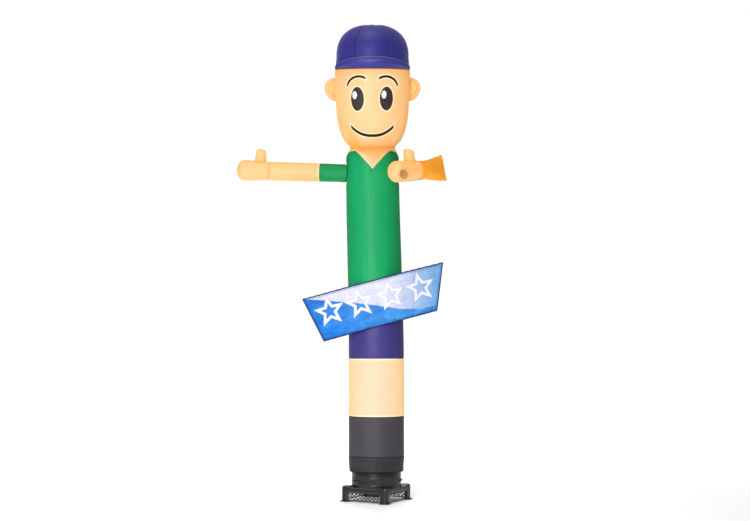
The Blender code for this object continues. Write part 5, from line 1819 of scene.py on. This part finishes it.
def build_grips():
    """Bowed grips on the duct's two sides, oval in section."""
    rows, columns = GRIP_GRID
    for node, span in GRIP_SPANS.items():
        share = np.linspace(0, 1, rows)[:, None]
        angle = np.radians(span[0] + (span[1] - span[0]) * share)
        reach = GRIP_REACH * np.minimum(1, np.sin(math.pi * share) * 1.6) ** 0.5
        turn = turns(columns)
        out = DUCT_RADIUS + np.maximum(reach - GRIP_HALF[1], 0.0) + GRIP_HALF[1] * np.cos(turn)
        height = GRIP_HEIGHT + GRIP_HALF[0] * np.sin(turn) + 0 * out
        points = on_blower(np.stack([out * np.sin(angle), -out * np.cos(angle), height], -1))
        ends = (points[0].mean(axis=0), points[-1].mean(axis=0))
        around = np.linspace(0, 0.05, columns + 1)
        grip = grid_mesh(f"{node}_grip", points, True, around, share * 0.15, poles=ends)
        settle(grip, "frame", node)


build_moulded()
build_duct()
build_grilles()
build_grips()


# Camera, lights and floor

CAMERA_FROM_AXIS = Vector((-0.015, -10.87, 1.452))
CAMERA_PITCH = math.radians(5.36)
CAMERA_LENS = 50
WHITE = (1, 1, 1, 1)
SKY_SIDES = 0.13  # brightness of the studio to the sides
# Where the studio is brighter: along which axis, from and to which share of it, and how bright
SKY_SPANS = ((1, 0.60, 0.86, 0.40), (2, 0.35, 0.95, 0.42), (2, 0.03, -0.05, 0.40))
BACKDROP_WHITE = 1.02  # what is seen past the figure
FLOOR_PAINT = (0.92, 0.92, 0.92, 1)
FLOOR_RADIUS = 16.0
FLOOR_SIDES = 96
FLOOR_GLOW = (0.22, 0.85)  # near the figure and far from it
FLOOR_FADE = (3.6, 9.0)
Lamp = namedtuple("Lamp", "name place aim size watts")
LAMPS = (
    Lamp("key", (-2.0, -8.8, 3.4), (0, 0, 2.6), 3.0, 640),
    Lamp("top", (-0.6, -2.2, 8.4), (0, 0, 2.0), 2.6, 130),
    Lamp("low", (-1.2, -3.0, 2.3), (0, 0, 0.15), 1.0, 16),
    Lamp("strip", (-0.9, -3.2, 0.16), (0, 0, 0.22), 0.5, 8),
    Lamp("backdrop", (0, 7.5, 7.0), (0, 9.5, 0), 6.0, 900),
)


def studio_world():
    """A soft studio: a white wall behind the figure, a bright ceiling and darker sides."""
    world = bpy.data.worlds.new("studio")
    world.use_nodes = True
    nodes = Nodes(world.node_tree)
    split = nodes.node("SeparateXYZ", {0: nodes.node("TexCoord").outputs["Generated"]})
    levels = []
    for axis, low, high, level in SKY_SPANS:
        levels.append(nodes.span(split.outputs[axis], low, high, SKY_SIDES, level))
    by_camera = nodes.node("LightPath").outputs["Is Camera Ray"]
    seen = nodes.node("Mix", {0: by_camera, 2: largest(levels), 3: BACKDROP_WHITE})
    background = world.node_tree.nodes["Background"]
    nodes.put(background.inputs["Color"], WHITE)
    nodes.put(background.inputs["Strength"], seen.outputs[0])
    return world


def build_lamp(lamp):
    light = bpy.data.lights.new(lamp.name, "AREA")
    light.size, light.energy = lamp.size, lamp.watts
    obj = new_object(lamp.name, light)
    obj.location = AXIS + Vector(lamp.place)
    aim = AXIS + Vector(lamp.aim) - obj.location
    obj.rotation_euler = aim.to_track_quat("-Z", "Y").to_euler()


def build_floor():
    """A wide pale disc that glows more where it is far from the figure, to meet the backdrop."""
    mesh = bpy.data.meshes.new("floor")
    rim = [(FLOOR_RADIUS * math.cos(turn), FLOOR_RADIUS * math.sin(turn), 0) for turn in turns(FLOOR_SIDES)]
    mesh.from_pydata(rim, [], [range(FLOOR_SIDES)])
    shader = Shader("studio floor")
    places = {0: shader.place(), 1: tuple(AXIS)}
    from_axis = shader.number("VectorMath", places, "Value", operation="DISTANCE")
    shader.set(colour=FLOOR_PAINT, roughness=0.7, glow=WHITE)
    shader.set(glow_strength=shader.span(from_axis, *FLOOR_FADE, *FLOOR_GLOW))
    mesh.materials.append(shader.material)
    new_object("floor", mesh)


def build_stage():
    camera = new_object("camera", bpy.data.cameras.new("camera"))
    camera.data.lens = CAMERA_LENS
    camera.location = AXIS + CAMERA_FROM_AXIS
    camera.rotation_euler = (math.pi / 2 + CAMERA_PITCH, 0, 0)
    bpy.context.scene.camera = camera
    bpy.context.scene.world = studio_world()
    bpy.context.scene.view_settings.view_transform = "Standard"
    for lamp in LAMPS:
        build_lamp(lamp)
    build_floor()


build_stage()

bracket = NODES["motor_bracket"].data
bracket.materials.clear()
bracket.materials.append(MATERIALS["bracket"])
